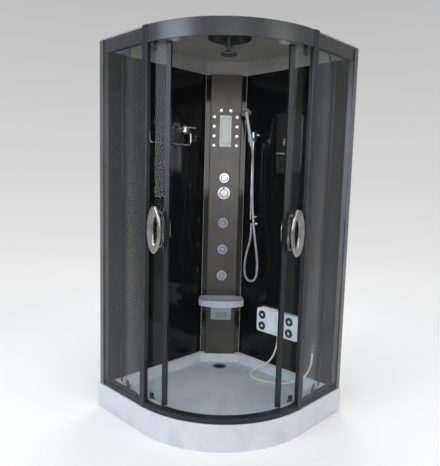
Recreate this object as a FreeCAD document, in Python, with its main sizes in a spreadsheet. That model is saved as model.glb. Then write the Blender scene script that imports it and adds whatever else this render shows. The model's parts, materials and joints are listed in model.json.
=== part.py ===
"""Steam shower cabin: quadrant tray, sliding curved doors, column with controls, and fittings.

Millimetres, +Z up. The origin is on the floor under the middle of the cabin's bounding box. The room's
corner is at +Y and the doors face -Y. Most pieces are built in the corner frame, whose X runs along the
left wall and whose Y runs along the right wall, both from the room's corner, and are then turned into place.
"""
import FreeCAD, Part
import math
import os

import Sketcher

Vector = FreeCAD.Vector

DIMENSIONS = (
    # plan of the cabin
    ("tray_side", 1000, "side of the square that the tray fits"),
    ("tray_flat", 405, "length of the flat front edges; the round front takes the rest"),
    ("frame_inset", 10, "tray edge to the outer face of rails and panes"),
    ("wall_back", 27, "room wall to the rear face of the back panels"),
    ("wall_thickness", 6, "back panels"),
    ("corner_run", 221, "room corner to the corner panel, along each wall"),
    ("corner_panel_thickness", 5, "corner panel"),
    # heights
    ("tray_height", 140, "top of the tray's rim"),
    ("floor_height", 95, "shower floor"),
    ("ceiling_height", 2090, "underside of the roof"),
    ("post_drop", 28, "ceiling to the top of the front posts"),
    ("pane_drop", 32, "ceiling to the top of the fixed panes"),
    ("wall_drop", 87, "ceiling to the top of the back panels and of the column"),
    # tray
    ("tray_shell", 6, "wall of the moulded tray"),
    ("pipe_notch", 70, "notch for the waste pipe in the tray's rear corner, along each wall"),
    ("pipe_notch_height", 95, "notch for the waste pipe"),
    ("rim_round", 5, "round of the tray's top edge"),
    ("basin_back", 46, "back walls' side of the basin, from the tray's edge"),
    ("basin_corner", 290, "basin's cut corner, sum of its two runs"),
    ("basin_front", 64, "front edge of the basin, from the tray's edge"),
    ("basin_slope", 38, "slope of the basin's sides, degrees"),
    ("drain_distance", 312, "room corner to the drain"),
    ("drain_hole", 43, "radius of the hole in the floor"),
    # tray frame and feet
    ("bar_size", 25, "square bars under the tray"),
    ("bar_left", 300, "first bar, from the room wall"),
    ("bar_right", 700, "second bar, from the room wall"),
    ("bar_start", 40, "start of the long bars"),
    ("bar_length", 800, "long bars"),
    ("bar_cross", 480, "place of the cross bar"),
    ("foot_pad_radius", 25, "foot"),
    ("foot_pad_height", 10, "foot"),
    ("foot_rod_radius", 6, "threaded rod"),
    ("foot_end", 40, "foot to the end of its bar"),
    # waste trap and drain cover
    ("trap_flange", 50, "radius of the flange on the floor"),
    ("trap_flange_thickness", 2.5, "flange"),
    ("trap_gap", 0.3, "radial play of the trap's neck in the floor"),
    ("trap_bore", 36, "radius of the trap's cup"),
    ("trap_base", 22, "underside of the trap"),
    ("trap_bottom", 6, "thickness of the trap's bottom"),
    ("trap_shoulder", 5, "nut under the floor"),
    ("outlet_radius", 20, "waste outlet, outside"),
    ("outlet_wall", 3, "waste outlet"),
    ("outlet_height", 52, "axis of the waste outlet"),
    ("outlet_reach", 62, "waste outlet beyond the trap's cup"),
    ("outlet_collar", 12, "collar at the root of the waste outlet"),
    ("outlet_collar_wall", 5, "collar at the root of the waste outlet"),
    ("cover_radius", 40, "drain cover"),
    ("cover_rise", 5, "dome of the drain cover"),
    ("cover_lip", 2.5, "edge of the drain cover"),
    ("cover_gap", 0.3, "drain cover above its flange"),
    ("cover_skirt", 32, "skirt inside the trap"),
    ("cover_skirt_depth", 9, "skirt inside the trap"),
    ("cover_slot_length", 34, "slot in the drain cover"),
    ("cover_slot_width", 7, "slot in the drain cover"),
    ("cover_slot_place", 16, "slot, in front of the cover's middle"),
    # rails and fascia
    ("bottom_rail_depth", 50, "front to back"),
    ("bottom_rail_height", 29, "front lip"),
    ("bottom_ledge_drop", 5, "inner ledge below the front lip"),
    ("bottom_ledge_depth", 26, "inner ledge, front to back"),
    ("rail_end", 40, "room wall to the ends of the flat rails"),
    ("fascia_drop", 30, "ceiling to the upper edge of the fascia"),
    ("fascia_height", 81, "fascia"),
    ("fascia_thickness", 3, "fascia"),
    ("fascia_flange", 2.5, "depth of the fascia's top and bottom flanges"),
    ("top_web_thickness", 3.5, "upright web of the top rail"),
    ("top_web_drop", 35, "ceiling to the top of the top rail"),
    ("top_web_height", 69, "top rail"),
    ("top_ledge_depth", 19.5, "ledge that the door wheels run on"),
    ("top_ledge_thickness", 4, "ledge that the door wheels run on"),
    ("top_flange_depth", 16, "upper flange of the top rail"),
    # posts, wall profiles and panes
    ("post_width", 40, "along the pane"),
    ("post_depth", 24, "front to back"),
    ("post_proud", 4, "post in front of the rails"),
    ("post_round", 4, "front edges of the posts"),
    ("post_notch_clear", 2, "post below the top rail"),
    ("profile_depth", 36, "wall profile, front to back"),
    ("profile_width", 32, "wall profile, along the pane"),
    ("profile_start", 8, "room wall to the wall profile"),
    ("joint_strip", 14, "square strip behind the joint of back panel and corner panel"),
    ("pane_thickness", 5, "fixed pane"),
    ("pane_hold", 8, "fixed pane inside its post and wall profile"),
    ("pane_play", 0.2, "fixed pane in its slots"),
    # doors: angles about the middle of the round front
    ("door_radius", 548, "middle of the door glass"),
    ("glass_thickness", 6, "door glass"),
    ("glass_bottom", 172, "lower edge of the door glass"),
    ("glass_drop", 108, "ceiling to the upper edge of the door glass"),
    ("door_lead_gap", 0.1, "closed door's lead stile to the middle of the front, degrees"),
    ("door_span", 43.2, "middle of the front to the closed door's trailing edge, degrees"),
    ("door_open", 31.4, "lead edge of the open door from the middle of the front, degrees"),
    ("wheel_lead", 10.2, "lead edge to the first hanger, degrees"),
    ("wheel_spread", 22.4, "first hanger to the second, degrees"),
    ("wheel_stand", 9.5, "outer face of the door glass to the middle of the top wheels"),
    ("wheel_radius", 12, "top wheel"),
    ("wheel_width", 8, "top wheel"),
    ("wheel_bore", 3.05, "radius of the wheel's bore"),
    ("wheel_play", 0.3, "wheel above its ledge"),
    ("wheel_rim", 2, "raised band of the wheel's hub"),
    ("stile_width", 2.8, "lead stile, degrees"),
    ("stile_depth", 15, "lead stile, front to back"),
    ("stile_grip", 1.5, "glass inside the lead stile, degrees"),
    ("strip_width", 1.5, "trailing seal strip, degrees"),
    ("strip_depth", 11, "trailing seal strip, front to back"),
    ("strip_grip", 0.9, "glass inside the trailing strip, degrees"),
    # hangers
    ("strap_width", 26, "hanger strap"),
    ("strap_thickness", 3, "hanger strap"),
    ("glass_play", 0.2, "flat pieces off the bent glass"),
    ("strap_drop", 38, "upper edge of the door glass to the lower end of the top straps"),
    ("strap_rise", 32, "upper edge of the door glass to the upper end of the top straps"),
    ("bolt_drop", 20, "upper edge of the door glass to the bolts of the top straps"),
    ("bolt_radius", 6, "bolt through the glass"),
    ("bolt_play", 0.05, "bolt in the glass"),
    ("bolt_cap_radius", 10, "cap on each end of a bolt"),
    ("bolt_cap_height", 2, "cap on each end of a bolt"),
    ("axle_radius", 3, "axle of a top wheel"),
    ("axle_head_radius", 5, "head of the axle"),
    ("axle_head_height", 1.2, "head of the axle"),
    ("guide_radius", 13, "lower guide roller"),
    ("guide_width", 7, "lower guide roller"),
    ("guide_play", 1.5, "lower guide roller above the rail's ledge"),
    ("guide_strap_top", 214, "upper end of the lower straps"),
    ("guide_bolt_height", 200, "bolts of the lower straps through the glass"),
    # door handles
    ("handle_height", 1080, "middle of the handles"),
    ("handle_long", 240, "handle, top to bottom"),
    ("handle_wide", 94, "handle, side to side"),
    ("handle_hole_long", 132, "finger opening"),
    ("handle_hole_wide", 30, "finger opening"),
    ("handle_hole_shift", 12, "finger opening off the middle, towards the lead edge"),
    ("handle_thickness", 15, "handle plate"),
    ("handle_stand", 25, "glass to the handle plate"),
    ("handle_bevel", 4, "edges of the handle"),
    ("handle_place", 6.0, "lead edge to the middle of the handle, degrees"),
    ("handle_stud_radius", 8, "studs of the handle"),
    ("handle_stud_spread", 168, "stud to stud"),
    # column
    ("column_width", 204, "column"),
    ("column_depth", 25, "column in front of the corner panel"),
    ("column_wall", 3, "column's wall"),
    ("column_round", 6, "front edges of the column"),
    ("panel_window", 120, "opening in the corner panel behind the column"),
    ("panel_window_bottom", 190, "lower edge of that opening"),
    ("panel_window_drop", 53, "top of the column to the upper edge of that opening"),
    # display and buttons
    ("display_width", 75, "display bezel"),
    ("display_long", 200, "display bezel"),
    ("display_height", 1645, "middle of the display"),
    ("display_proud", 6, "bezel in front of the column"),
    ("display_border", 10, "bezel around the screen"),
    ("display_end", 17, "bezel above and below the screen"),
    ("display_recess", 2.5, "screen below the bezel"),
    ("display_neck", 3.5, "bezel's overlap on the column"),
    ("display_neck_play", 0.3, "display in its cut-out"),
    ("display_box", 18, "display behind the column's face"),
    ("button_radius", 9, "button"),
    ("button_play", 0.4, "button in its hole"),
    ("button_proud", 4, "button in front of the column"),
    ("button_back", 8, "button behind the column's face"),
    ("button_collar", 2, "collar that keeps the button in its hole"),
    ("button_collar_gap", 2, "collar behind the column's wall"),
    ("button_side", 74, "side buttons from the middle"),
    ("button_pair", 30, "top buttons from the middle"),
    ("button_pair_height", 1777, "top buttons"),
    ("button_first_height", 1736, "upper side buttons"),
    ("button_step", 61, "from one side button to the next"),
    # mixer valve, knobs
    ("diverter_height", 1342, "diverter knob"),
    ("mixer_height", 1243, "mixer knob"),
    ("cartridge_radius", 18, "cartridge in the column's face"),
    ("cartridge_play", 0.5, "cartridge in its hole"),
    ("spindle_radius", 4, "spindle of a cartridge"),
    ("spindle_play", 0.05, "knob on its spindle"),
    ("spindle_end", 3, "spindle's end below the knob's face"),
    ("diverter_plate", 34, "radius of the plate under the diverter knob"),
    ("diverter_radius", 24, "diverter knob"),
    ("diverter_depth", 28, "diverter knob"),
    ("mixer_plate", 44, "radius of the plate under the mixer knob"),
    ("mixer_radius", 29, "mixer knob"),
    ("mixer_depth", 30, "mixer knob"),
    ("plate_thickness", 6, "plates under the knobs"),
    ("knob_gap", 0.5, "knob above its plate"),
    ("knob_taper", 3, "knob narrower at its face"),
    ("lever_radius", 6, "lever of the mixer"),
    ("lever_reach", 50, "lever's end from the mixer's axis"),
    ("valve_half", 75, "half width of the valve body"),
    ("valve_depth", 36, "valve body"),
    ("valve_margin", 42, "valve body beyond the two cartridges"),
    ("inlet_radius", 10.5, "hot and cold inlets"),
    ("inlet_bore", 7, "hot and cold inlets"),
    ("inlet_length", 22, "hot and cold inlets"),
    ("inlet_spread", 75, "hot inlet to cold inlet"),
    ("inlet_rise", 20, "inlets above the valve body's underside"),
    ("pipe_radius", 8, "pipe to the jets"),
    # jets
    ("jet_first", 1046, "upper jet"),
    ("jet_step", 178, "from one jet to the next"),
    ("jet_radius", 38, "jet's ring"),
    ("jet_ring", 9, "jet's ring in front of the column"),
    ("jet_bevel", 3.5, "edge of the jet's ring"),
    ("jet_barrel", 27, "jet's barrel through the column"),
    ("jet_barrel_play", 0.5, "barrel in its hole"),
    ("jet_barrel_depth", 31, "barrel behind the column's face"),
    ("jet_bore", 12, "inlet of a jet"),
    ("ball_radius", 22, "jet nozzle"),
    ("ball_play", 0.3, "jet nozzle in its seat"),
    ("ball_set", 1, "middle of the nozzle behind the column's face"),
    ("nozzle_dish", 11, "dish in the nozzle's face"),
    ("nozzle_dish_depth", 4, "dish in the nozzle's face"),
    ("nozzle_hole", 2, "spray hole in the middle; the others are half as wide"),
    ("nozzle_circle", 6.5, "circle of the other spray holes"),
    ("nozzle_holes", 6, "number of spray holes on that circle"),
    # seat and steam box
    ("seat_half", 147, "half width of the seat"),
    ("seat_back_half", 132, "half width of the seat at the column"),
    ("seat_flare", 32, "from the column to the seat's full width"),
    ("seat_side", 105, "from the column to the front corners"),
    ("seat_depth", 166, "from the column to the nose"),
    ("seat_under", 507, "underside of the seat"),
    ("seat_thickness", 43, "seat"),
    ("seat_dish", 13, "hollow of the seat"),
    ("seat_dish_radius", 150, "hollow of the seat"),
    ("seat_dish_half", 126, "half width of the hollow"),
    ("seat_dish_place", 82, "middle of the hollow from the column"),
    ("seat_groove", 3, "grooves round the seat's edge"),
    ("seat_round", 4, "edges of the seat"),
    ("box_half", 67, "half width of the steam box"),
    ("box_depth", 145, "steam box"),
    ("box_height", 82, "steam box"),
    ("box_round", 6, "edges of the steam box"),
    ("box_slot_length", 80, "steam slots"),
    ("box_slot_height", 5, "steam slots"),
    ("box_slot_step", 14, "steam slots"),
    ("box_slot_depth", 12, "steam slots"),
    # steam generator
    ("generator_half", 75, "half width of the steam generator"),
    ("generator_depth", 55, "steam generator"),
    ("generator_bottom", 200, "underside of the steam generator"),
    ("generator_height", 280, "steam generator"),
    ("steam_pipe", 12, "radius of the pipe to the steam box"),
    ("steam_pipe_play", 1, "pipe in the column's face"),
    ("steam_pipe_rise", 24, "pipe above the steam box's underside"),
    # riser rail, hose outlet, handset
    ("riser_place", 325, "riser from the room corner"),
    ("riser_stand", 42, "riser from the back panel"),
    ("riser_radius", 9, "riser"),
    ("riser_bottom", 1080, "riser"),
    ("riser_top", 1636, "riser"),
    ("bracket_inset", 14, "brackets from the riser's ends"),
    ("bracket_radius", 8, "riser brackets"),
    ("flange_radius", 19, "wall flanges"),
    ("flange_thickness", 5, "wall flanges"),
    ("hose_outlet_place", 333, "hose outlet from the room corner"),
    ("hose_outlet_height", 1050, "hose outlet"),
    ("hose_outlet_stand", 42, "hose outlet from the back panel"),
    ("hose_outlet_drop", 28, "hose outlet's spout"),
    ("hose_outlet_radius", 9, "hose outlet"),
    ("slider_height", 1588, "handset slider"),
    ("slider_radius", 18, "slider's ring"),
    ("slider_long", 36, "slider's ring"),
    ("slider_play", 0.08, "slider on the riser"),
    ("slider_arm", 34, "from the riser to the holder's pin"),
    ("slider_side", 18, "holder beside the riser"),
    ("slider_bridge", 8, "plate that carries the slider's ears"),
    ("slider_bridge_place", 10, "that plate, from the riser's middle"),
    ("pin_radius", 4, "holder's pin"),
    ("pin_play", 0.08, "holder on its pin"),
    ("pin_long", 46, "holder's pin"),
    ("ear_thickness", 5, "ears of the slider"),
    ("ear_radius", 9, "ears of the slider"),
    ("holder_radius", 15, "holder"),
    ("holder_long", 30, "holder"),
    ("holder_stand", 14, "holder in front of its pin"),
    ("handset_tilt", 15.5, "handset from upright, degrees"),
    ("grip_radius", 11, "handset's grip"),
    ("grip_neck", 9, "handset's grip at its lower end"),
    ("grip_long", 175, "handset's grip above the holder"),
    ("grip_under", 25, "handset below the holder's middle"),
    ("nut_radius", 10, "hose nut"),
    ("nut_long", 14, "hose nut"),
    ("head_radius", 33, "handset's head"),
    ("head_thickness", 16, "handset's head"),
    ("head_face", 50, "handset's face from upright, degrees"),
    # mirror, shelf, towel rail
    ("mirror_start", 484, "mirror from the room corner"),
    ("mirror_width", 185, "mirror"),
    ("mirror_bottom", 1383, "mirror"),
    ("mirror_long", 366, "mirror"),
    ("mirror_round", 26, "corners of the mirror"),
    ("mirror_thickness", 5, "mirror"),
    ("shelf_start", 378, "shelf from the room corner"),
    ("shelf_long", 354, "shelf"),
    ("shelf_depth", 95, "shelf"),
    ("shelf_gap", 6, "shelf from the back panel"),
    ("shelf_height", 1641, "underside of the shelf"),
    ("shelf_thickness", 6, "shelf"),
    ("shelf_round", 30, "front corners of the shelf"),
    ("towel_start", 395, "towel rail from the room corner"),
    ("towel_long", 320, "towel rail between its uprights"),
    ("towel_stand", 52, "towel rail from the back panel"),
    ("towel_drop", 86, "towel rail below its brackets"),
    ("towel_bracket", 1626, "towel rail's brackets"),
    ("towel_radius", 6.5, "towel rail"),
    ("towel_bend", 24, "bends of the towel rail"),
    # foot massager
    ("massager_start", 398, "foot massager from the room corner"),
    ("massager_long", 327, "foot massager"),
    ("massager_depth", 34, "foot massager"),
    ("massager_bottom", 354, "foot massager"),
    ("massager_tall", 158, "foot massager"),
    ("massager_corner", 20, "corners of the foot massager"),
    ("massager_round", 7, "front edges of the foot massager"),
    ("ring_first", 48, "first rings from the massager's end"),
    ("ring_spread", 213, "ring to ring, along the wall"),
    ("ring_low", 42, "lower rings above the massager's underside"),
    ("ring_step", 73, "lower ring to upper ring"),
    ("ring_radius", 27, "massage ring"),
    ("ring_hole", 11, "hole of a massage ring"),
    ("ring_sink", 4, "massage ring below the massager's face"),
    ("ring_proud", 4, "massage ring above the massager's face"),
    ("ring_play", 0.4, "massage ring in its seat"),
    ("ring_bevel", 2.5, "edge of a massage ring"),
    ("ring_boss", 7, "boss inside a massage ring"),
    ("massager_slot_long", 46, "slot"),
    ("massager_slot_tall", 9, "slot"),
    ("massager_slot_depth", 10, "slot"),
    ("massager_slot_place", 150, "slot from the massager's end"),
    ("massager_slot_rise", 112, "slot above the massager's underside"),
    ("ledge_long", 110, "raised ledge on the massager's top"),
    ("ledge_tall", 7, "raised ledge on the massager's top"),
    ("ledge_place", 36, "raised ledge from the massager's end"),
    ("ledge_depth", 22, "raised ledge on the massager's top"),
    ("elbow_place", 832, "massager hose's wall elbow from the room corner"),
    ("elbow_height", 346, "massager hose's wall elbow"),
    ("elbow_stand", 30, "massager hose's wall elbow from the back panel"),
    ("elbow_radius", 8, "massager hose's wall elbow"),
    ("elbow_drop", 24, "massager hose's wall elbow"),
    # hoses
    ("shower_hose_radius", 6.5, "shower hose"),
    ("massager_hose_radius", 5.5, "massager hose"),
    # roof
    ("roof_shell", 6, "roof's wall"),
    ("roof_inset", 16, "tray edge to the roof's outer face"),
    ("roof_lip", 8, "upright edge of the roof above the top rail"),
    ("roof_slope", 112, "roof's edge to its flat deck, across the slope"),
    ("roof_skirt", 13, "roof's skirts behind the corner panel"),
    ("recess_outer", 225, "ring-shaped recess in the ceiling"),
    ("recess_inner", 125, "ring-shaped recess in the ceiling"),
    ("recess_rise", 14, "depth of the recess"),
    ("recess_place", 705, "middle of the recess from the room corner"),
    ("duct_radius", 60, "fan duct"),
    ("duct_wall", 4, "fan duct"),
    ("duct_rise", 60, "ceiling to the top of the fan duct"),
    ("grille_radius", 118, "round cover"),
    ("grille_thickness", 5, "round cover"),
    ("grille_slot_in", 30, "slots of the round cover, inner end"),
    ("grille_slot_out", 54, "slots of the round cover, outer end"),
    ("grille_slot_width", 5, "slots of the round cover"),
    ("grille_slots", 16, "number of slots in the round cover"),
    ("motor_radius", 20, "fan motor"),
    ("motor_height", 18, "fan motor above the cover"),
    ("shaft_radius", 3, "fan shaft"),
    ("shaft_long", 24, "fan shaft above the motor"),
    ("hub_radius", 16, "fan hub"),
    ("hub_bore_play", 0.05, "fan hub on its shaft"),
    ("hub_height", 20, "fan hub"),
    ("hub_gap", 1, "fan hub above the motor"),
    ("blade_radius", 55, "fan blades"),
    ("blade_thickness", 2, "fan blades"),
    ("blade_pitch", 35, "fan blades, degrees"),
    ("blade_root", 3, "fan blades inside their hub"),
    ("blades", 7, "number of fan blades"),
    ("lamp_side", 305, "lamps from the middle"),
    ("lamp_place", 665, "lamps from the room corner"),
    ("lamp_radius", 28, "lamp's body"),
    ("lamp_play", 0.4, "lamp in the roof"),
    ("lamp_rim", 35, "lamp's rim"),
    ("lamp_rim_thickness", 4, "lamp's rim"),
    ("lamp_body", 26, "lamp's body above the ceiling"),
    # top shower
    ("top_shower_place", 558, "top shower from the room corner"),
    ("arm_radius", 8, "top shower's arm"),
    ("arm_flange", 24, "top shower's arm flange"),
    ("arm_drop", 32, "ceiling to the top shower's ball"),
    ("arm_ball", 11, "top shower's ball"),
    ("rose_radius", 48, "top shower's rose"),
    ("rose_thickness", 9, "top shower's rose"),
    ("rose_collar", 17, "top shower's collar"),
    ("rose_collar_height", 20, "top shower's collar"),
    ("rose_ball_play", 0.3, "top shower on its ball"),
)


class Size:
    """A size that carries the formula it came from, so that a property can be tied to the sheet's cells."""

    def __init__(self, value, formula):
        self.value = value
        self.formula = formula

    @staticmethod
    def of(number):
        """Take a plain number as a size."""
        return number if isinstance(number, Size) else Size(float(number), f"{number}")

    def _with(self, other, sign, value):
        return Size(value, f"({self.formula} {sign} {Size.of(other).formula})")

    def __add__(self, other):
        return self._with(other, "+", self.value + Size.of(other).value)

    def __sub__(self, other):
        return self._with(other, "-", self.value - Size.of(other).value)

    def __mul__(self, other):
        return self._with(other, "*", self.value * Size.of(other).value)

    def __truediv__(self, other):
        return self._with(other, "/", self.value / Size.of(other).value)

    def __radd__(self, other):
        return Size.of(other) + self

    def __rsub__(self, other):
        return Size.of(other) - self

    def __rmul__(self, other):
        return Size.of(other) * self

    def __neg__(self):
        return Size(-self.value, f"(0 - {self.formula})")

    def __float__(self):
        return float(self.value)


doc = FreeCAD.newDocument("SteamShowerCabin")
sheet = doc.addObject("Spreadsheet::Sheet", "Dims")
for row, (alias, number, meaning) in enumerate(DIMENSIONS, start=1):
    sheet.set(f"A{row}", meaning)
    sheet.set(f"B{row}", str(number))
    sheet.setAlias(f"B{row}", alias)
doc.recompute()


def read(alias):
    """Read one driving dimension from the sheet."""
    return Size(float(sheet.get(alias)), f"Dims.{alias}")


class Dimensions:
    """The sheet's cells as attributes."""

    def __init__(self, aliases):
        for alias in aliases:
            setattr(self, alias, read(alias))


d = Dimensions([alias for alias, _number, _meaning in DIMENSIONS])

# sizes that several pieces share
ROOT2 = math.sqrt(2.0)
round_radius = d.tray_side - d.tray_flat
apex_y = (d.tray_flat * ROOT2 + round_radius) / 2
wall_face = d.wall_back + d.wall_thickness
panel_y = apex_y - (wall_face + d.corner_run) / ROOT2
column_face = panel_y - d.column_depth
wall_top = d.ceiling_height - d.wall_drop
post_top = d.ceiling_height - d.post_drop
pane_top = d.ceiling_height - d.pane_drop
fascia_top = d.ceiling_height - d.fascia_drop
fascia_bottom = fascia_top - d.fascia_height
web_top = d.ceiling_height - d.top_web_drop
web_bottom = web_top - d.top_web_height
glass_top = d.ceiling_height - d.glass_drop
bolt_height = glass_top - d.bolt_drop
duct_top = d.ceiling_height + d.duct_rise
wheel_path = d.door_radius + d.glass_thickness / 2 + d.wheel_stand
pane_outer = d.tray_side - d.frame_inset
rail_top = d.tray_height + d.bottom_rail_height
ledge_top = rail_top - d.bottom_ledge_drop
web_inset = d.frame_inset + d.fascia_thickness + d.fascia_flange
ledge_face = web_bottom + d.top_ledge_thickness
wheel_height = ledge_face + d.wheel_play + d.wheel_radius
ball_y = column_face + d.ball_set
drain_y = apex_y - d.drain_distance
recess_y = apex_y - d.recess_place
riser_x = wall_face + d.riser_stand

CORNER = FreeCAD.Placement(Vector(0, float(apex_y), 0), FreeCAD.Rotation(Vector(0, 0, 1), -135))
TO_X = FreeCAD.Rotation(Vector(0, 1, 0), 90)
TO_Y = FreeCAD.Rotation(Vector(1, 0, 0), -90)
UP = FreeCAD.Rotation()
PAST = 5.0
MIRROR_IN_CORNER = Vector(1, -1, 0)
MIRROR_ACROSS = Vector(1, 0, 0)
nodes = []


def bind(item, target, size):
    """Set a property from a size, tied to the sheet where the size comes from it."""
    item.setExpression(target, Size.of(size).formula)


def seat_at(item, base, turn=UP):
    """Put an object at a base point, whose coordinates are sizes, with a fixed turn."""
    item.Placement = FreeCAD.Placement(Vector(), turn)
    for axis, size in zip("xyz", base):
        bind(item, f"Placement.Base.{axis}", size)
    return item


def box(name, base, lengths, turn=UP):
    """Add a block from its lowest corner."""
    block = doc.addObject("Part::Box", name)
    for side, size in zip(("Length", "Width", "Height"), lengths):
        bind(block, side, size)
    return seat_at(block, base, turn)


def cylinder(name, base, radius, height, turn=UP, angle=360):
    """Add a cylinder, or a wedge of one, from the middle of its base."""
    round_bar = doc.addObject("Part::Cylinder", name)
    bind(round_bar, "Radius", radius)
    bind(round_bar, "Height", height)
    bind(round_bar, "Angle", angle)
    return seat_at(round_bar, base, turn)


def cone(name, base, lower, upper, height, turn=UP, angle=360):
    """Add a cone, or a wedge of one, from the middle of its base."""
    taper = doc.addObject("Part::Cone", name)
    bind(taper, "Radius1", lower)
    bind(taper, "Radius2", upper)
    bind(taper, "Height", height)
    bind(taper, "Angle", angle)
    return seat_at(taper, base, turn)


def sphere(name, middle, radius):
    """Add a ball about its middle."""
    ball = doc.addObject("Part::Sphere", name)
    bind(ball, "Radius", radius)
    return seat_at(ball, middle)


def fuse(name, *pieces):
    """Join solids into one."""
    joined = doc.addObject("Part::MultiFuse", name)
    joined.Shapes = list(pieces)
    joined.Refine = True
    return joined


def cut(name, base, *tools):
    """Cut one or more tools from a solid."""
    tool = tools[0] if len(tools) == 1 else fuse(f"{name}_tools", *tools)
    remainder = doc.addObject("Part::Cut", name)
    remainder.Base = base
    remainder.Tool = tool
    remainder.Refine = True
    return remainder


def shared(name, first, second):
    """Keep what two solids share."""
    both = doc.addObject("Part::Common", name)
    both.Base = first
    both.Tool = second
    return both


def group(name, *pieces):
    """Keep several separate solids in one node."""
    kept = doc.addObject("Part::Compound", name)
    kept.Links = list(pieces)
    return kept


def mirrored(name, source, normal=MIRROR_IN_CORNER):
    """Mirror a piece about the cabin's middle plane."""
    twin = doc.addObject("Part::Mirroring", name)
    twin.Source = source
    twin.Normal = normal
    return twin


def rounded(name, base, radius, chosen):
    """Round the edges of a solid that the test picks."""
    doc.recompute()
    soft = doc.addObject("Part::Fillet", name)
    soft.Base = base
    edges = [index for index, edge in enumerate(base.Shape.Edges, start=1) if chosen(edge)]
    if not edges:
        raise RuntimeError(f"{name}: no edge to round")
    soft.Edges = [(index, float(radius), float(radius)) for index in edges]
    return soft


def bevelled(name, base, width, chosen):
    """Bevel the edges of a solid that the test picks."""
    doc.recompute()
    soft = doc.addObject("Part::Chamfer", name)
    soft.Base = base
    edges = [index for index, edge in enumerate(base.Shape.Edges, start=1) if chosen(edge)]
    if not edges:
        raise RuntimeError(f"{name}: no edge to bevel")
    soft.Edges = [(index, float(width), float(width)) for index in edges]
    return soft


def along(edge, axis):
    """Tell whether an edge is straight and runs along one axis, 0 for X, 1 for Y and 2 for Z."""
    if not isinstance(edge.Curve, Part.Line):
        return False
    return abs(edge.Curve.Direction[axis]) > 0.999


def near(number, size):
    """Tell whether a coordinate is the size's value."""
    return abs(number - float(size)) < 0.01


def node(item, label, placement=None):
    """Name a finished sub-part, and place it where its frame lies."""
    if placement is not None:
        item.Placement = placement
    item.Label = label
    nodes.append(item)
    return item


def origin_plane(body, role):
    """Find one of the body's own origin planes."""
    return next(plane for plane in body.Origin.OriginFeatures if plane.Role == role)


def outline(body, name, corners, offset=0, role="XY_Plane"):
    """Draw a closed outline in a body.

    Each corner is (x, y) or (x, y, radius). A radius bends the edge that starts there: its middle lies to
    the left of the way to the next corner when the radius is positive, and to the right when negative.
    """
    sketch = body.newObject("Sketcher::SketchObject", name)
    sketch.AttachmentSupport = [(origin_plane(body, role), "")]
    sketch.MapMode = "FlatFace"
    bind(sketch, "AttachmentOffset.Base.z", offset)
    points = [Vector(float(corner[0]), float(corner[1]), 0) for corner in corners]
    starts = []
    for index, corner in enumerate(corners):
        here, there = points[index], points[(index + 1) % len(points)]
        if len(corner) == 2:
            sketch.addGeometry(Part.LineSegment(here, there), False)
            starts.append((1, 2))
            continue
        radius = float(corner[2])
        chord = there - here
        rise = math.sqrt(max(radius ** 2 - (chord.Length / 2) ** 2, 0.0))
        side = Vector(-chord.y, chord.x, 0).normalize()
        middle = (here + there) / 2 + side * math.copysign(rise, radius)
        first, last = (here, there) if radius > 0 else (there, here)
        ends = [math.atan2(end.y - middle.y, end.x - middle.x) for end in (first, last)]
        ring = Part.Circle(middle, Vector(0, 0, 1), abs(radius))
        sketch.addGeometry(Part.ArcOfCircle(ring, ends[0], ends[1]), False)
        starts.append((1, 2) if radius > 0 else (2, 1))
    for index, corner in enumerate(corners):
        following = (index + 1) % len(corners)
        ends = (index, starts[index][1], following, starts[following][0])
        sketch.addConstraint(Sketcher.Constraint("Coincident", *ends))
        for direction, size in (("DistanceX", corner[0]), ("DistanceY", corner[1])):
            place_corner(sketch, direction, index, starts[index][0], Size.of(size))
        if len(corner) == 3:
            bend = Sketcher.Constraint("Radius", index, abs(float(corner[2])))
            number = sketch.addConstraint(bend)
            size = Size.of(corner[2])
            bind(sketch, f"Constraints[{number}]", size if float(size) > 0 else -size)
    return sketch


def place_corner(sketch, direction, edge, end, size):
    """Hold one corner of an outline at its distance from the origin along X or Y."""
    if float(size) == 0.0:
        axis = -2 if direction == "DistanceX" else -1
        sketch.addConstraint(Sketcher.Constraint("PointOnObject", edge, end, axis))
        return
    if float(size) > 0:
        rule = Sketcher.Constraint(direction, -1, 1, edge, end, float(size))
    else:
        rule = Sketcher.Constraint(direction, edge, end, -1, 1, -float(size))
    number = sketch.addConstraint(rule)
    bind(sketch, f"Constraints[{number}]", size if float(size) > 0 else -size)


def padded(name, corners, length, offset=0, taper=None, down=False):
    """Pad an outline into a body, upwards or downwards, with tapered sides if asked."""
    body = doc.addObject("PartDesign::Body", name)
    sketch = outline(body, f"{name}_outline", corners, offset)
    pad = body.newObject("PartDesign::Pad", f"{name}_pad")
    pad.Profile = sketch
    bind(pad, "Length", length)
    pad.Reversed = down
    if taper is not None:
        bind(pad, "TaperAngle", -taper)
    return body


def turned(name, corners):
    """Turn an outline, whose X is the radius and whose Y is the height, about the vertical axis."""
    body = doc.addObject("PartDesign::Body", name)
    sketch = outline(body, f"{name}_outline", corners, role="XZ_Plane")
    solid = body.newObject("PartDesign::Revolution", f"{name}_turn")
    solid.Profile = sketch
    solid.ReferenceAxis = (sketch, ["V_Axis"])
    solid.Angle = 360
    return body


def quadrant(name, back, inset, bottom, height):
    """Fill the cabin's plan, two flats and a round front, between two heights."""
    reach = d.tray_side - inset - back
    across = d.tray_flat - back
    arms = (
        box(f"{name}_left", (back, back, bottom), (reach, across, height)),
        box(f"{name}_right", (back, back, bottom), (across, reach, height)),
        cylinder(f"{name}_round", (d.tray_flat, d.tray_flat, bottom), round_radius - inset, height, angle=90),
    )
    return fuse(name, *arms)


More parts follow.
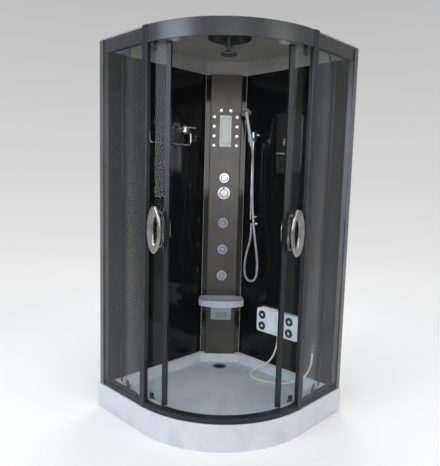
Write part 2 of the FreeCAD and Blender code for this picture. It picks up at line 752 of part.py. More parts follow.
def sloped_quadrant(name, back, inset, bottom, edge_top, top):
    """Fill the cabin's plan with an upright edge, and slope its fronts up to a flat top."""
    foot = quadrant(f"{name}_foot", back, inset, bottom, edge_top - bottom)
    rise = top - edge_top
    reach = d.tray_side - inset
    wedge = doc.addObject("Part::Wedge", f"{name}_wedge_left")
    for side, size in (("Xmin", back), ("X2min", back), ("Xmax", reach), ("X2max", reach - d.roof_slope),
                       ("Ymax", rise), ("Zmax", d.tray_flat - back), ("Z2max", d.tray_flat - back)):
        bind(wedge, side, size)
    for side in ("Ymin", "Zmin", "Z2min"):
        setattr(wedge, side, 0)
    seat_at(wedge, (0, d.tray_flat, edge_top), FreeCAD.Rotation(Vector(1, 0, 0), 90))
    hood = cone(f"{name}_cone", (d.tray_flat, d.tray_flat, edge_top), round_radius - inset,
                round_radius - inset - d.roof_slope, rise, angle=90)
    return fuse(name, foot, wedge, mirrored(f"{name}_wedge_right", wedge), hood)


def band(name, outer, inner, bottom, height):
    """Follow the cabin's front edge with a band between two insets."""
    whole = quadrant(f"{name}_whole", 0, outer, bottom, height)
    core = quadrant(f"{name}_core", -PAST, inner, bottom - PAST, height + 2 * PAST)
    return cut(name, whole, core)


def sector(name, inner, outer, bottom, height, start, span):
    """Bend a plate about the middle of the round front, from one angle over a span of degrees."""
    turn = FreeCAD.Rotation(Vector(0, 0, 1), float(start))
    base = (0, 0, bottom)
    plate = cylinder(f"{name}_outer", base, outer, height, turn, span)
    core = cylinder(f"{name}_inner", (0, 0, bottom - PAST), inner, height + 2 * PAST)
    return cut(name, plate, core)


def wire_through(points, share=0.45, bend=None):
    """Join points by straight runs with tangent arcs, each as large as its two runs allow."""
    edges = []
    radii = []
    start = points[0]
    for before, here, after in zip(points, points[1:], points[2:]):
        into = (here - before).normalize()
        out = (after - here).normalize()
        half_turn = into.getAngle(out) / 2
        shorter = min((here - before).Length, (after - here).Length)
        radius = bend if bend else share * shorter / math.tan(half_turn)
        reach = radius * math.tan(half_turn)
        first, last = here - into * reach, here + out * reach
        inward = (out - into).normalize()
        crown = here + inward * (radius / math.cos(half_turn) - radius)
        edges.append(Part.LineSegment(start, first).toShape())
        edges.append(Part.Arc(first, crown, last).toShape())
        radii.append(radius)
        start = last
    edges.append(Part.LineSegment(start, points[-1]).toShape())
    return Part.Wire(edges), radii


def tube(name, points, radius, bend=None):
    """Sweep a round section along a bent path, and print how tight its bends are."""
    path, radii = wire_through(points, bend=bend)
    direction = (points[1] - points[0]).normalize()
    section = Part.Wire(Part.Circle(points[0], direction, float(radius)).toShape())
    solid = path.makePipeShell([section], True, False)
    expected = math.pi * float(radius) ** 2 * path.Length
    print(f"{name}: {path.Length:.0f} mm long, bends {min(radii):.0f} to {max(radii):.0f} mm, "
          f"volume {solid.Volume / expected:.4f} of section times length")
    feature = doc.addObject("Part::Feature", name)
    feature.Shape = solid
    return feature


# tray

def basin(name, grow, depth):
    """Fill the tray's basin, wider and deeper by the shell where it shapes the underside."""
    back = d.basin_back - grow
    cut_corner = d.basin_corner - grow * ROOT2
    front = d.tray_side - d.basin_front + grow
    corners = (
        (back, cut_corner - back),
        (cut_corner - back, back),
        (front, back),
        (front, d.tray_flat, front - d.tray_flat),
        (d.tray_flat, front),
        (back, front),
    )
    return padded(name, corners, depth, offset=d.tray_height, taper=d.basin_slope, down=True)


def make_tray():
    """Mould the tray: apron, rim and a basin with sloped sides, hollow underneath."""
    blank = quadrant("tray_blank", 0, 0, 0, d.tray_height)
    front_edges = rounded("tray_rounded", blank, d.rim_round, lambda edge: (
        near(edge.BoundBox.ZMin, d.tray_height) and near(edge.BoundBox.ZMax, d.tray_height)
        and edge.BoundBox.XMin > 1 and edge.BoundBox.YMin > 1))
    under_blank = quadrant("tray_under_blank", d.tray_shell, d.tray_shell, -PAST,
                           d.tray_height - d.tray_shell + PAST)
    skin = basin("basin_skin", d.tray_shell, d.tray_height - d.floor_height + d.tray_shell)
    under = cut("tray_underside", under_blank, skin)
    hollow = basin("basin_hollow", 0, d.tray_height - d.floor_height)
    drain = d.drain_distance / ROOT2
    hole = cylinder("tray_drain_hole", (drain, drain, 0), d.drain_hole, d.tray_height)
    notch = box("tray_pipe_notch", (-PAST, -PAST, -PAST),
                (d.pipe_notch + PAST, d.pipe_notch + PAST, d.pipe_notch_height + PAST))
    node(cut("tray_solid", front_edges, under, hollow, hole, notch), "tray", CORNER)


def make_tray_frame():
    """Carry the tray on two long bars, a cross bar and five feet."""
    top = d.floor_height - d.tray_shell
    bottom = top - d.bar_size
    gap = d.bar_right - d.bar_left - d.bar_size
    bars = [
        box("bar_one", (d.bar_left, d.bar_start, bottom), (d.bar_size, d.bar_length, d.bar_size)),
        box("bar_two", (d.bar_right, d.bar_start, bottom), (d.bar_size, d.bar_length, d.bar_size)),
        box("bar_three", (d.bar_left + d.bar_size, d.bar_cross, bottom), (gap, d.bar_size, d.bar_size)),
    ]
    middle = d.bar_size / 2
    low = d.bar_start + d.foot_end
    high = d.bar_start + d.bar_length - d.foot_end
    spots = (
        (d.bar_left + middle, low), (d.bar_left + middle, high),
        (d.bar_right + middle, low), (d.bar_right + middle, high),
        ((d.bar_left + d.bar_right + d.bar_size) / 2, d.bar_cross + middle),
    )
    feet = []
    for index, (x, y) in enumerate(spots, start=1):
        pad = cylinder(f"foot_pad_{index}", (x, y, 0), d.foot_pad_radius, d.foot_pad_height)
        rod = cylinder(f"foot_rod_{index}", (x, y, d.foot_pad_height), d.foot_rod_radius,
                       bottom - d.foot_pad_height)
        feet.append(fuse(f"foot_{index}", pad, rod))
    node(group("tray_frame_group", *bars, *feet), "tray_frame", CORNER)


def make_waste():
    """Make the waste trap below the floor and the domed cover above it."""
    under = d.floor_height - d.tray_shell
    neck = d.drain_hole - d.trap_gap
    flange_top = d.floor_height + d.trap_flange_thickness
    cup_floor = d.trap_base + d.trap_bottom
    profile = (
        (0, d.trap_base), (neck, d.trap_base), (neck, under - d.trap_shoulder),
        (d.trap_flange, under - d.trap_shoulder), (d.trap_flange, under), (neck, under),
        (neck, d.floor_height), (d.trap_flange, d.floor_height), (d.trap_flange, flange_top),
        (d.trap_bore, flange_top), (d.trap_bore, cup_floor), (0, cup_floor),
    )
    cup = seat_at(turned("trap_cup", profile), (0, drain_y, 0))
    spout_start = drain_y + (d.trap_bore + neck) / 2
    spout_long = neck - (d.trap_bore + neck) / 2 + d.outlet_reach
    spout = cylinder("trap_spout", (0, spout_start, d.outlet_height), d.outlet_radius, spout_long, TO_Y)
    collar = cylinder("trap_collar", (0, spout_start, d.outlet_height),
                      d.outlet_radius + d.outlet_collar_wall, spout_long - d.outlet_reach + d.outlet_collar,
                      TO_Y)
    way = cylinder("trap_way", (0, drain_y, d.outlet_height), d.outlet_radius - d.outlet_wall,
                   neck + d.outlet_reach + PAST, TO_Y)
    node(cut("trap_solid", fuse("trap_body", cup, collar, spout), way), "waste_trap")

    bottom = flange_top + d.cover_gap
    dome_radius = (d.cover_radius * d.cover_radius + d.cover_rise * d.cover_rise) / (2 * d.cover_rise)
    lip = bottom + d.cover_lip
    skirt_wall = d.cover_skirt - d.outlet_wall
    profile = (
        (0, bottom), (skirt_wall, bottom), (skirt_wall, bottom - d.cover_skirt_depth),
        (d.cover_skirt, bottom - d.cover_skirt_depth), (d.cover_skirt, bottom), (d.cover_radius, bottom),
        (d.cover_radius, lip, dome_radius), (0, lip + d.cover_rise),
    )
    dome = seat_at(turned("cover_dome", profile), (0, drain_y, 0))
    slot = box("cover_slot", (-d.cover_slot_length / 2, drain_y - d.cover_slot_place - d.cover_slot_width / 2,
                              bottom - PAST),
               (d.cover_slot_length, d.cover_slot_width, d.cover_rise + d.cover_lip + 2 * PAST))
    node(cut("cover_solid", dome, slot), "drain_cover")


# frame

def post_block(name):
    """Fill the left post's outline, from the tray to its top."""
    front = pane_outer + d.post_proud
    base = (front - d.post_depth, d.tray_flat - d.post_width / 2, d.tray_height)
    return box(name, base, (d.post_depth, d.post_width, post_top - d.tray_height))


def end_blocks(name, bottom, height):
    """Clear the ends of a band at the two wall profiles."""
    reach = d.tray_side + PAST
    return (
        box(f"{name}_end_left", (-PAST, -PAST, bottom), (reach, d.rail_end + PAST, height)),
        box(f"{name}_end_right", (-PAST, -PAST, bottom), (d.rail_end + PAST, reach, height)),
    )


def make_rails():
    """Extrude the bottom rail with its ledge, and the top rail with the wheels' ledge."""
    inner = d.frame_inset + d.bottom_rail_depth
    ledge = inner - d.bottom_ledge_depth
    full = band("bottom_rail_band", d.frame_inset, inner, d.tray_height, d.bottom_rail_height)
    step = band("bottom_rail_step", ledge, inner + PAST, ledge_top, d.bottom_ledge_drop + PAST)
    post = post_block("bottom_rail_post")
    clear = end_blocks("bottom_rail", d.tray_height - PAST, d.bottom_rail_height + 2 * PAST)
    rail = cut("bottom_rail_solid", full, step, post, mirrored("bottom_rail_post_right", post), *clear)
    node(rail, "bottom_rail", CORNER)

    web_in = web_inset + d.top_web_thickness
    tall = web_top - web_bottom
    web = band("top_rail_web", web_inset, web_in, web_bottom, tall)
    shelf = band("top_rail_ledge", web_inset, web_in + d.top_ledge_depth, web_bottom, d.top_ledge_thickness)
    flange = band("top_rail_flange", web_inset, web_in + d.top_flange_depth,
                  web_top - d.top_web_thickness, d.top_web_thickness)
    clear = end_blocks("top_rail", web_bottom - PAST, tall + 2 * PAST)
    rail = cut("top_rail_solid", fuse("top_rail_profile", web, shelf, flange), *clear)
    node(rail, "top_rail", CORNER)


def make_fascia():
    """Bend the fascia between the posts, with a flange along its top and bottom."""
    tall = fascia_top - fascia_bottom
    back = d.frame_inset + d.fascia_thickness
    face = band("fascia_face", d.frame_inset, back, fascia_bottom, tall)
    lower = band("fascia_lower", d.frame_inset, web_inset, fascia_bottom, d.fascia_thickness)
    upper = band("fascia_upper", d.frame_inset, web_inset, fascia_top - d.fascia_thickness,
                 d.fascia_thickness)
    edge = d.tray_flat + d.post_width / 2
    reach = d.tray_side + 2 * PAST
    base = (-PAST, -PAST, fascia_bottom - PAST)
    left = box("fascia_end_left", base, (reach, edge + PAST, tall + 2 * PAST))
    right = box("fascia_end_right", base, (edge + PAST, reach, tall + 2 * PAST))
    node(cut("fascia_solid", fuse("fascia_profile", face, lower, upper), left, right), "fascia", CORNER)


def pane_slot(name, start, length):
    """Cut the slot that holds a fixed pane, from a place along the pane over a length."""
    deep = d.pane_thickness + 2 * d.pane_play
    base = (pane_outer - d.pane_thickness - d.pane_play, start, rail_top)
    return box(name, base, (deep, length, post_top - rail_top + PAST))


def make_uprights():
    """Make the two front posts, the two wall profiles and the strips behind the corner joints."""
    front = pane_outer + d.post_proud
    left = d.tray_flat - d.post_width / 2
    blank = rounded("post_rounded", post_block("post_blank"), d.post_round, lambda edge: (
        along(edge, 2) and near(edge.BoundBox.XMax, front)))
    notch_bottom = web_bottom - d.post_notch_clear
    notch_depth = d.post_depth - (front - (d.tray_side - web_inset)) + d.pane_play
    notch = box("post_notch", (front - d.post_depth, left - PAST, notch_bottom),
                (notch_depth, d.post_width + 2 * PAST, post_top))
    slot = pane_slot("post_slot", left - PAST, d.pane_hold + PAST)
    post = cut("post_left", blank, notch, slot)
    node(group("posts_group", post, mirrored("post_right", post)), "posts", CORNER)

    base = (front - d.profile_depth, d.profile_start, d.tray_height)
    stock = box("profile_stock", base, (d.profile_depth, d.profile_width, web_top - d.tray_height))
    end = d.profile_start + d.profile_width
    slot = pane_slot("profile_slot", end - d.pane_hold, d.pane_hold + PAST)
    profile = cut("profile_left", stock, slot)
    strip = box("joint_strip_left", (d.corner_run, d.wall_back - d.joint_strip, d.tray_height),
                (d.joint_strip, d.joint_strip, wall_top - d.tray_height))
    twins = (mirrored("profile_right", profile), mirrored("joint_strip_right", strip))
    node(group("wall_profiles_group", profile, strip, *twins), "wall_profiles", CORNER)


def make_panes():
    """Set the two flat panes between their posts and wall profiles."""
    start = d.profile_start + d.profile_width - d.pane_hold + d.pane_play
    end = d.tray_flat - d.post_width / 2 + d.pane_hold - d.pane_play
    base = (pane_outer - d.pane_thickness, start, rail_top)
    pane = box("pane_left", base, (d.pane_thickness, end - start, pane_top - rail_top))
    node(group("fixed_panes_group", pane, mirrored("pane_right", pane)), "fixed_panes", CORNER)


def make_wall_panels():
    """Stand the two black back panels and the corner panel on the tray's rim."""
    tall = wall_top - d.tray_height
    end = pane_outer + d.post_proud - d.profile_depth
    left = box("back_panel_left", (d.corner_run, d.wall_back, d.tray_height),
               (end - d.corner_run, d.wall_thickness, tall))
    backs = group("back_panels", left, mirrored("back_panel_right", left))
    backs.Placement = CORNER
    half = (d.corner_run - wall_face) / ROOT2 - d.pane_play * 3
    corner = box("corner_panel_blank", (-half, panel_y, d.tray_height),
                 (half * 2, d.corner_panel_thickness, tall))
    window = box("corner_panel_window", (-d.panel_window / 2, panel_y - PAST, d.panel_window_bottom),
                 (d.panel_window, d.corner_panel_thickness + 2 * PAST,
                  wall_top - d.panel_window_drop - d.panel_window_bottom))
    node(group("wall_panels_group", backs, cut("corner_panel", corner, window)), "wall_panels")


# doors

def door_placement():
    """Turn the closed left door about the middle of the round front to where it stands open.

    The first hanger's wheel stays on the round part of the rail, and the second runs on the flat part.
    """
    path = float(wheel_path)
    middle = Vector(float(d.tray_flat), float(d.tray_flat), 0)

    def on_round(from_front):
        angle = math.radians(45 - from_front)
        return middle + Vector(math.cos(angle), math.sin(angle), 0) * path

    lead, spread = float(d.wheel_lead), float(d.wheel_spread)
    first, second = on_round(lead), on_round(lead + spread)
    open_first = on_round(float(d.door_open) + lead)
    flat_x = middle.x + path
    run = math.sqrt((second - first).Length ** 2 - (flat_x - open_first.x) ** 2)
    open_second = Vector(flat_x, open_first.y - run, 0)
    closed_way, open_way = second - first, open_second - open_first
    turn = math.atan2(open_way.y, open_way.x) - math.atan2(closed_way.y, closed_way.x)
    rotation = FreeCAD.Rotation(Vector(0, 0, 1), math.degrees(turn))
    shift = open_first - rotation.multVec(first)
    print(f"door: opens by {abs(math.degrees(turn)):.3f} degrees")
    closed = FreeCAD.Placement(middle, UP)
    return CORNER.multiply(FreeCAD.Placement(shift, rotation)).multiply(closed)


DOOR = door_placement()


def from_lead(degrees):
    """Turn an angle from the closed door's lead edge into one about the corner frame's X."""
    return 45 - degrees


def at_angle(item, degrees):
    """Turn a piece, built on the X axis, to an angle about the middle of the round front."""
    turn = FreeCAD.Placement(Vector(), FreeCAD.Rotation(Vector(0, 0, 1), float(degrees)))
    item.Placement = turn.multiply(item.Placement)
    return item


def door_pair(item, name):
    """Keep a door piece as the left door's node, and its mirror image as the right door's."""
    left = node(item, f"{name}_left", DOOR)
    node(mirrored(f"{name}_twin", left, MIRROR_ACROSS), f"{name}_right")


def through_glass(name, degrees, height, radius, start, length):
    """Put a radial round bar at an angle from the lead edge."""
    bar = cylinder(name, (start, 0, height), radius, length, TO_X)
    bar_holder = group(f"{name}_at", bar)
    return at_angle(bar_holder, from_lead(degrees))


def hanger_places():
    """Give the two hangers' angles from the lead edge."""
    return (float(d.wheel_lead), float(d.wheel_lead + d.wheel_spread))


def make_door_glass():
    """Bend the door's glass, with four bolt holes."""
    inner = d.door_radius - d.glass_thickness / 2
    start = from_lead(d.door_span - d.strip_width + d.strip_grip)
    end = from_lead(d.door_lead_gap + d.stile_width - d.stile_grip)
    sheet_of_glass = sector("door_glass_blank", inner, inner + d.glass_thickness, d.glass_bottom,
                            glass_top - d.glass_bottom, start, end - start)
    holes = []
    for index, degrees in enumerate(hanger_places(), start=1):
        for level, height in (("top", bolt_height), ("low", d.guide_bolt_height)):
            holes.append(through_glass(f"glass_hole_{level}_{index}", degrees, height,
                                       d.bolt_radius + d.bolt_play, inner - PAST,
                                       d.glass_thickness + 2 * PAST))
    door_pair(cut("door_glass_solid", sheet_of_glass, *holes), "door_glass")


def edge_profile(name, depth, start, width, grip_start, grip):
    """Bend a channel that holds one upright edge of the door glass."""
    inner = d.door_radius - depth / 2
    tall = glass_top - d.glass_bottom
    solid = sector(f"{name}_solid", inner, inner + depth, d.glass_bottom, tall, start, width)
    slot_in = d.door_radius - d.glass_thickness / 2 - d.bolt_play
    slot = sector(f"{name}_slot", slot_in, slot_in + d.glass_thickness + 2 * d.bolt_play,
                  d.glass_bottom - PAST, tall + 2 * PAST, grip_start, grip)
    return cut(name, solid, slot)


def make_door_edges():
    """Make the lead stile and the trailing seal strip."""
    lead_start = from_lead(d.door_lead_gap + d.stile_width)
    lead = edge_profile("lead_stile", d.stile_depth, lead_start, d.stile_width, lead_start - 1,
                        d.stile_grip + 1)
    trail_start = from_lead(d.door_span)
    grip_start = trail_start + d.strip_width - d.strip_grip
    trail = edge_profile("trail_strip", d.strip_depth, trail_start, d.strip_width, grip_start,
                         d.strip_grip + 1)
    door_pair(group("door_edges_group", lead, trail), "door_edges")


def make_hangers():
    """Make the top hangers with their axles, and the lower hangers with their guide rollers."""
    inner = d.door_radius - d.glass_thickness / 2
    outer = inner + d.glass_thickness
    face = inner - d.glass_play
    back = face - d.strap_thickness
    wheel_face = wheel_path + d.wheel_width / 2
    guide_height = ledge_top + d.guide_play + d.guide_radius
    hangers = []
    for index, degrees in enumerate(hanger_places(), start=1):
        name = f"top_hanger_{index}"
        strap = box(f"{name}_strap", (back, -d.strap_width / 2, glass_top - d.strap_drop),
                    (d.strap_thickness, d.strap_width, d.strap_drop + d.strap_rise))
        bolt = cylinder(f"{name}_bolt", (back, 0, bolt_height), d.bolt_radius, outer - back, TO_X)
        cap_out = cylinder(f"{name}_cap_out", (outer, 0, bolt_height), d.bolt_cap_radius, d.bolt_cap_height,
                           TO_X)
        cap_in = cylinder(f"{name}_cap_in", (back - d.bolt_cap_height, 0, bolt_height), d.bolt_cap_radius,
                          d.bolt_cap_height, TO_X)
        axle = cylinder(f"{name}_axle", (back, 0, wheel_height), d.axle_radius,
                        wheel_face - back + d.wheel_play, TO_X)
        head = cylinder(f"{name}_head", (wheel_face + d.wheel_play, 0, wheel_height), d.axle_head_radius,
                        d.axle_head_height, TO_X)
        collar_end = wheel_path - d.wheel_width / 2 - d.wheel_play
        collar = cylinder(f"{name}_collar", (face, 0, wheel_height), d.axle_head_radius, collar_end - face,
                          TO_X)
        upper = fuse(name, strap, bolt, cap_out, cap_in, axle, head, collar)
        hangers.append(at_angle(upper, from_lead(degrees)))

        name = f"low_hanger_{index}"
        strap = box(f"{name}_strap", (back, -d.strap_width / 2, guide_height),
                    (d.strap_thickness, d.strap_width, d.guide_strap_top - guide_height))
        bolt = cylinder(f"{name}_bolt", (back, 0, d.guide_bolt_height), d.bolt_radius, outer - back, TO_X)
        cap_out = cylinder(f"{name}_cap_out", (outer, 0, d.guide_bolt_height), d.bolt_cap_radius,
                           d.bolt_cap_height, TO_X)
        roller = cylinder(f"{name}_roller", (back - d.guide_width, 0, guide_height), d.guide_radius,
                          d.guide_width + d.strap_thickness, TO_X)
        lower = fuse(name, strap, bolt, cap_out, roller)
        hangers.append(at_angle(lower, from_lead(degrees)))
    door_pair(group("door_hangers_group", *hangers), "door_hangers")


def make_wheels():
    """Make the grooved top wheels, one node each."""
    start = wheel_path - d.wheel_width / 2
    for name, degrees in zip(("lead_wheel", "trail_wheel"), hanger_places()):
        tyre = cylinder(f"{name}_tyre", (start, 0, wheel_height), d.wheel_radius, d.wheel_width, TO_X)
        dish_depth = d.wheel_width / 4
        dish_outer = d.wheel_radius - d.wheel_rim
        rings = []
        for side, x in (("in", start - PAST), ("out", start + d.wheel_width - dish_depth)):
            plate = cylinder(f"{name}_dish_{side}", (x, 0, wheel_height), dish_outer, dish_depth + PAST, TO_X)
            hub = cylinder(f"{name}_hub_{side}", (x - PAST, 0, wheel_height), d.axle_head_radius,
                           dish_depth + 3 * PAST, TO_X)
            rings.append(cut(f"{name}_ring_{side}", plate, hub))
        bore = cylinder(f"{name}_bore", (start - PAST, 0, wheel_height), d.wheel_bore,
                        d.wheel_width + 2 * PAST, TO_X)
        wheel = cut(f"{name}_solid", tyre, bore, *rings)
        door_pair(group(f"{name}_group", at_angle(wheel, from_lead(degrees))), name)


def oval(name, base, long, wide, thickness):
    """Extrude an upright ellipse along X."""
    ring = doc.addObject("Part::Ellipse", f"{name}_ring")
    bind(ring, "MajorRadius", long / 2)
    bind(ring, "MinorRadius", wide / 2)
    plate = doc.addObject("Part::Extrusion", name)
    plate.Base = ring
    plate.DirMode = "Custom"
    plate.Dir = (0, 0, 1)
    plate.Solid = True
    bind(plate, "LengthFwd", thickness)
    turn = FreeCAD.Rotation(Vector(0, 1, 0), 90).multiply(FreeCAD.Rotation(Vector(0, 0, 1), 180))
    return seat_at(plate, base, turn)


def handle_side(name, near_face, far_face, stud_start, stud_length):
    """Make one side of the handle: an oval plate with a finger opening, on two studs."""
    thickness = far_face - near_face
    plate = oval(f"{name}_plate", (near_face, 0, d.handle_height), d.handle_long, d.handle_wide, thickness)
    hole = oval(f"{name}_hole", (near_face - PAST, d.handle_hole_shift, d.handle_height), d.handle_hole_long,
                d.handle_hole_wide, thickness + 2 * PAST)
    ring = bevelled(f"{name}_bevelled", cut(f"{name}_ring", plate, hole), d.handle_bevel,
                    lambda edge: edge.isClosed() or edge.Length > float(d.handle_long))
    studs = []
    for side, lift in (("up", d.handle_stud_spread / 2), ("down", -d.handle_stud_spread / 2)):
        studs.append(cylinder(f"{name}_stud_{side}", (stud_start, 0, d.handle_height + lift),
                              d.handle_stud_radius, stud_length, TO_X))
    return fuse(f"{name}_whole", ring, *studs)


def make_handles():
    """Set an oval handle on both faces of the glass."""
    inner = d.door_radius - d.glass_thickness / 2
    outer = inner + d.glass_thickness
    out_near = outer + d.handle_stand
    in_far = inner - d.glass_play - d.handle_stand
    sides = (
        handle_side("handle_out", out_near, out_near + d.handle_thickness, outer, d.handle_stand + 1),
        handle_side("handle_in", in_far - d.handle_thickness, in_far, in_far - 1, d.handle_stand + 1),
    )
    turned_sides = [at_angle(side, from_lead(d.handle_place)) for side in sides]
    door_pair(group("door_handle_group", *turned_sides), "door_handle")


# column and controls

def button_spots():
    """List the ten buttons' places on the column's face."""
    spots = [(-d.button_pair, d.button_pair_height), (d.button_pair, d.button_pair_height)]
    for side in (-d.button_side, d.button_side):
        spots += [(side, d.button_first_height - d.button_step * step) for step in range(4)]
    return spots


def jet_heights():
    """List the three jets' heights, from the top."""
    return [d.jet_first - d.jet_step * step for step in range(3)]


def make_column():
    """Extrude the column and cut the holes for what it carries."""
    half = d.column_width / 2
    tall = wall_top - d.tray_height
    stock = box("column_stock", (-half, column_face, d.tray_height), (d.column_width, d.column_depth, tall))
    shell = rounded("column_rounded", stock, d.column_round, lambda edge: (
        along(edge, 2) and near(edge.BoundBox.YMin, column_face)))
    hollow = box("column_hollow", (d.column_wall - half, column_face + d.column_wall, d.tray_height - PAST),
                 (d.column_width - 2 * d.column_wall, d.column_depth, tall + 2 * PAST))
    start = column_face - PAST
    deep = d.column_wall + 2 * PAST
    neck = d.display_width - 2 * d.display_neck + 2 * d.display_neck_play
    neck_long = d.display_long - 2 * d.display_neck + 2 * d.display_neck_play
    tools = [hollow, box("column_display", (-neck / 2, start, d.display_height - neck_long / 2),
                         (neck, deep, neck_long))]
    for index, (x, z) in enumerate(button_spots(), start=1):
        tools.append(cylinder(f"column_button_{index}", (x, start, z), d.button_radius + d.button_play,
                              deep, TO_Y))
    for index, z in enumerate((d.diverter_height, d.mixer_height), start=1):
        tools.append(cylinder(f"column_cartridge_{index}", (0, start, z),
                              d.cartridge_radius + d.cartridge_play, deep, TO_Y))
    for index, z in enumerate(jet_heights(), start=1):
        tools.append(cylinder(f"column_jet_{index}", (0, start, z), d.jet_barrel + d.jet_barrel_play, deep,
                              TO_Y))
    steam_height = d.seat_under - d.box_height + d.steam_pipe_rise
    tools.append(cylinder("column_steam", (0, start, steam_height), d.steam_pipe + d.steam_pipe_play, deep,
                          TO_Y))
    node(cut("column_solid", shell, *tools), "column")


def make_display():
    """Make the display: a bezel round a sunken screen, with its box behind the column's face."""
    face = column_face - d.display_proud
    stock = box("display_stock", (-d.display_width / 2, face, d.display_height - d.display_long / 2),
                (d.display_width, d.display_proud, d.display_long))
    bezel = rounded("display_rounded", stock, d.display_proud / 2, lambda edge: along(edge, 1))
    window = box("display_window", (d.display_border - d.display_width / 2, face - PAST,
                                    d.display_height - d.display_long / 2 + d.display_end),
                 (d.display_width - 2 * d.display_border, d.display_recess + PAST,
                  d.display_long - 2 * d.display_end))
    neck = d.display_width - 2 * d.display_neck
    neck_long = d.display_long - 2 * d.display_neck
    behind = box("display_neck", (-neck / 2, column_face, d.display_height - neck_long / 2),
                 (neck, d.display_box, neck_long))
    node(cut("display_solid", fuse("display_whole", bezel, behind), window), "display")


def make_buttons():
    """Make the ten push buttons, one node each, with a collar behind the column's face."""
    for index, (x, z) in enumerate(button_spots(), start=1):
        name = f"button_{index}"
        long = d.button_proud + d.button_back
        stem = cylinder(f"{name}_stem", (x, column_face - d.button_proud, z), d.button_radius, long, TO_Y)
        cap = bevelled(f"{name}_bevelled", stem, d.button_proud / 4, lambda edge: (
            edge.isClosed() and near(edge.BoundBox.YMax, column_face - d.button_proud)))
        collar_start = column_face + d.column_wall + d.button_collar_gap
        collar = cylinder(f"{name}_collar", (x, collar_start, z), d.button_radius + d.button_collar,
                          column_face + d.button_back - collar_start, TO_Y)
        node(fuse(f"{name}_solid", cap, collar), name)


def make_valve():
    """Make the valve body with cartridges, spindles, inlets and the pipe to the jets."""
    block_y = panel_y + d.corner_panel_thickness
    low = d.mixer_height - d.valve_margin
    tall = d.diverter_height - d.mixer_height + 2 * d.valve_margin
    parts = [box("valve_block", (-d.valve_half, block_y, low), (2 * d.valve_half, d.valve_depth, tall))]
    knobs = (("diverter", d.diverter_height, d.diverter_depth), ("mixer", d.mixer_height, d.mixer_depth))
    for name, z, depth in knobs:
        parts.append(cylinder(f"{name}_cartridge", (0, column_face, z), d.cartridge_radius,
                              block_y - column_face + 1, TO_Y))
        tip = column_face - d.plate_thickness - d.knob_gap - depth + d.spindle_end
        parts.append(cylinder(f"{name}_spindle", (0, tip, z), d.spindle_radius, column_face - tip + 1, TO_Y))
    back = block_y + d.valve_depth
    bores = []
    for side, x in (("hot", -d.inlet_spread / 2), ("cold", d.inlet_spread / 2)):
        z = low + d.inlet_rise
        parts.append(cylinder(f"{side}_inlet", (x, back - 1, z), d.inlet_radius, d.inlet_length + 1, TO_Y))
        bores.append(cylinder(f"{side}_bore", (x, back - d.inlet_length / 2, z), d.inlet_bore,
                              1.5 * d.inlet_length + PAST, TO_Y))
    tail = column_face + d.jet_barrel_depth
    pipe_y = tail + d.pipe_radius
    lowest = jet_heights()[-1]
    parts.append(cylinder("jet_pipe", (0, pipe_y, lowest - d.jet_bore), d.pipe_radius,
                          low - lowest + d.jet_bore + 1))
    for index, z in enumerate(jet_heights(), start=1):
        parts.append(cylinder(f"jet_branch_{index}", (0, tail, z), d.jet_bore, 2 * d.pipe_radius, TO_Y))
    node(cut("valve_solid", fuse("valve_whole", *parts), *bores), "valve_body")


def make_knobs():
    """Make the diverter knob and the mixer knob with its lever."""
    specs = (
        ("diverter_knob", d.diverter_height, d.diverter_radius, d.diverter_depth),
        ("mixer_lever", d.mixer_height, d.mixer_radius, d.mixer_depth),
    )
    for name, z, radius, depth in specs:
        back = column_face - d.plate_thickness - d.knob_gap
        profile = (
            (0, 0), (radius, 0), (radius - d.knob_taper, depth - d.knob_taper),
            (radius - 2 * d.knob_taper, depth), (0, depth),
        )
        grip = seat_at(turned(f"{name}_grip", profile), (0, back, z), FreeCAD.Rotation(Vector(1, 0, 0), 90))
        tip = back - depth + d.spindle_end
        bore = cylinder(f"{name}_bore", (0, tip - 1, z), d.spindle_radius + d.spindle_play,
                        back - tip + 1 + PAST, TO_Y)
        if name == "mixer_lever":
            y = back - depth / 2
            lever = cylinder(f"{name}_arm", (0, y, z), d.lever_radius, d.lever_reach)
            tip_ball = sphere(f"{name}_tip", (0, y, z + d.lever_reach), d.lever_radius)
            grip = fuse(f"{name}_whole", grip, lever, tip_ball)
        node(cut(f"{name}_solid", grip, bore), name)


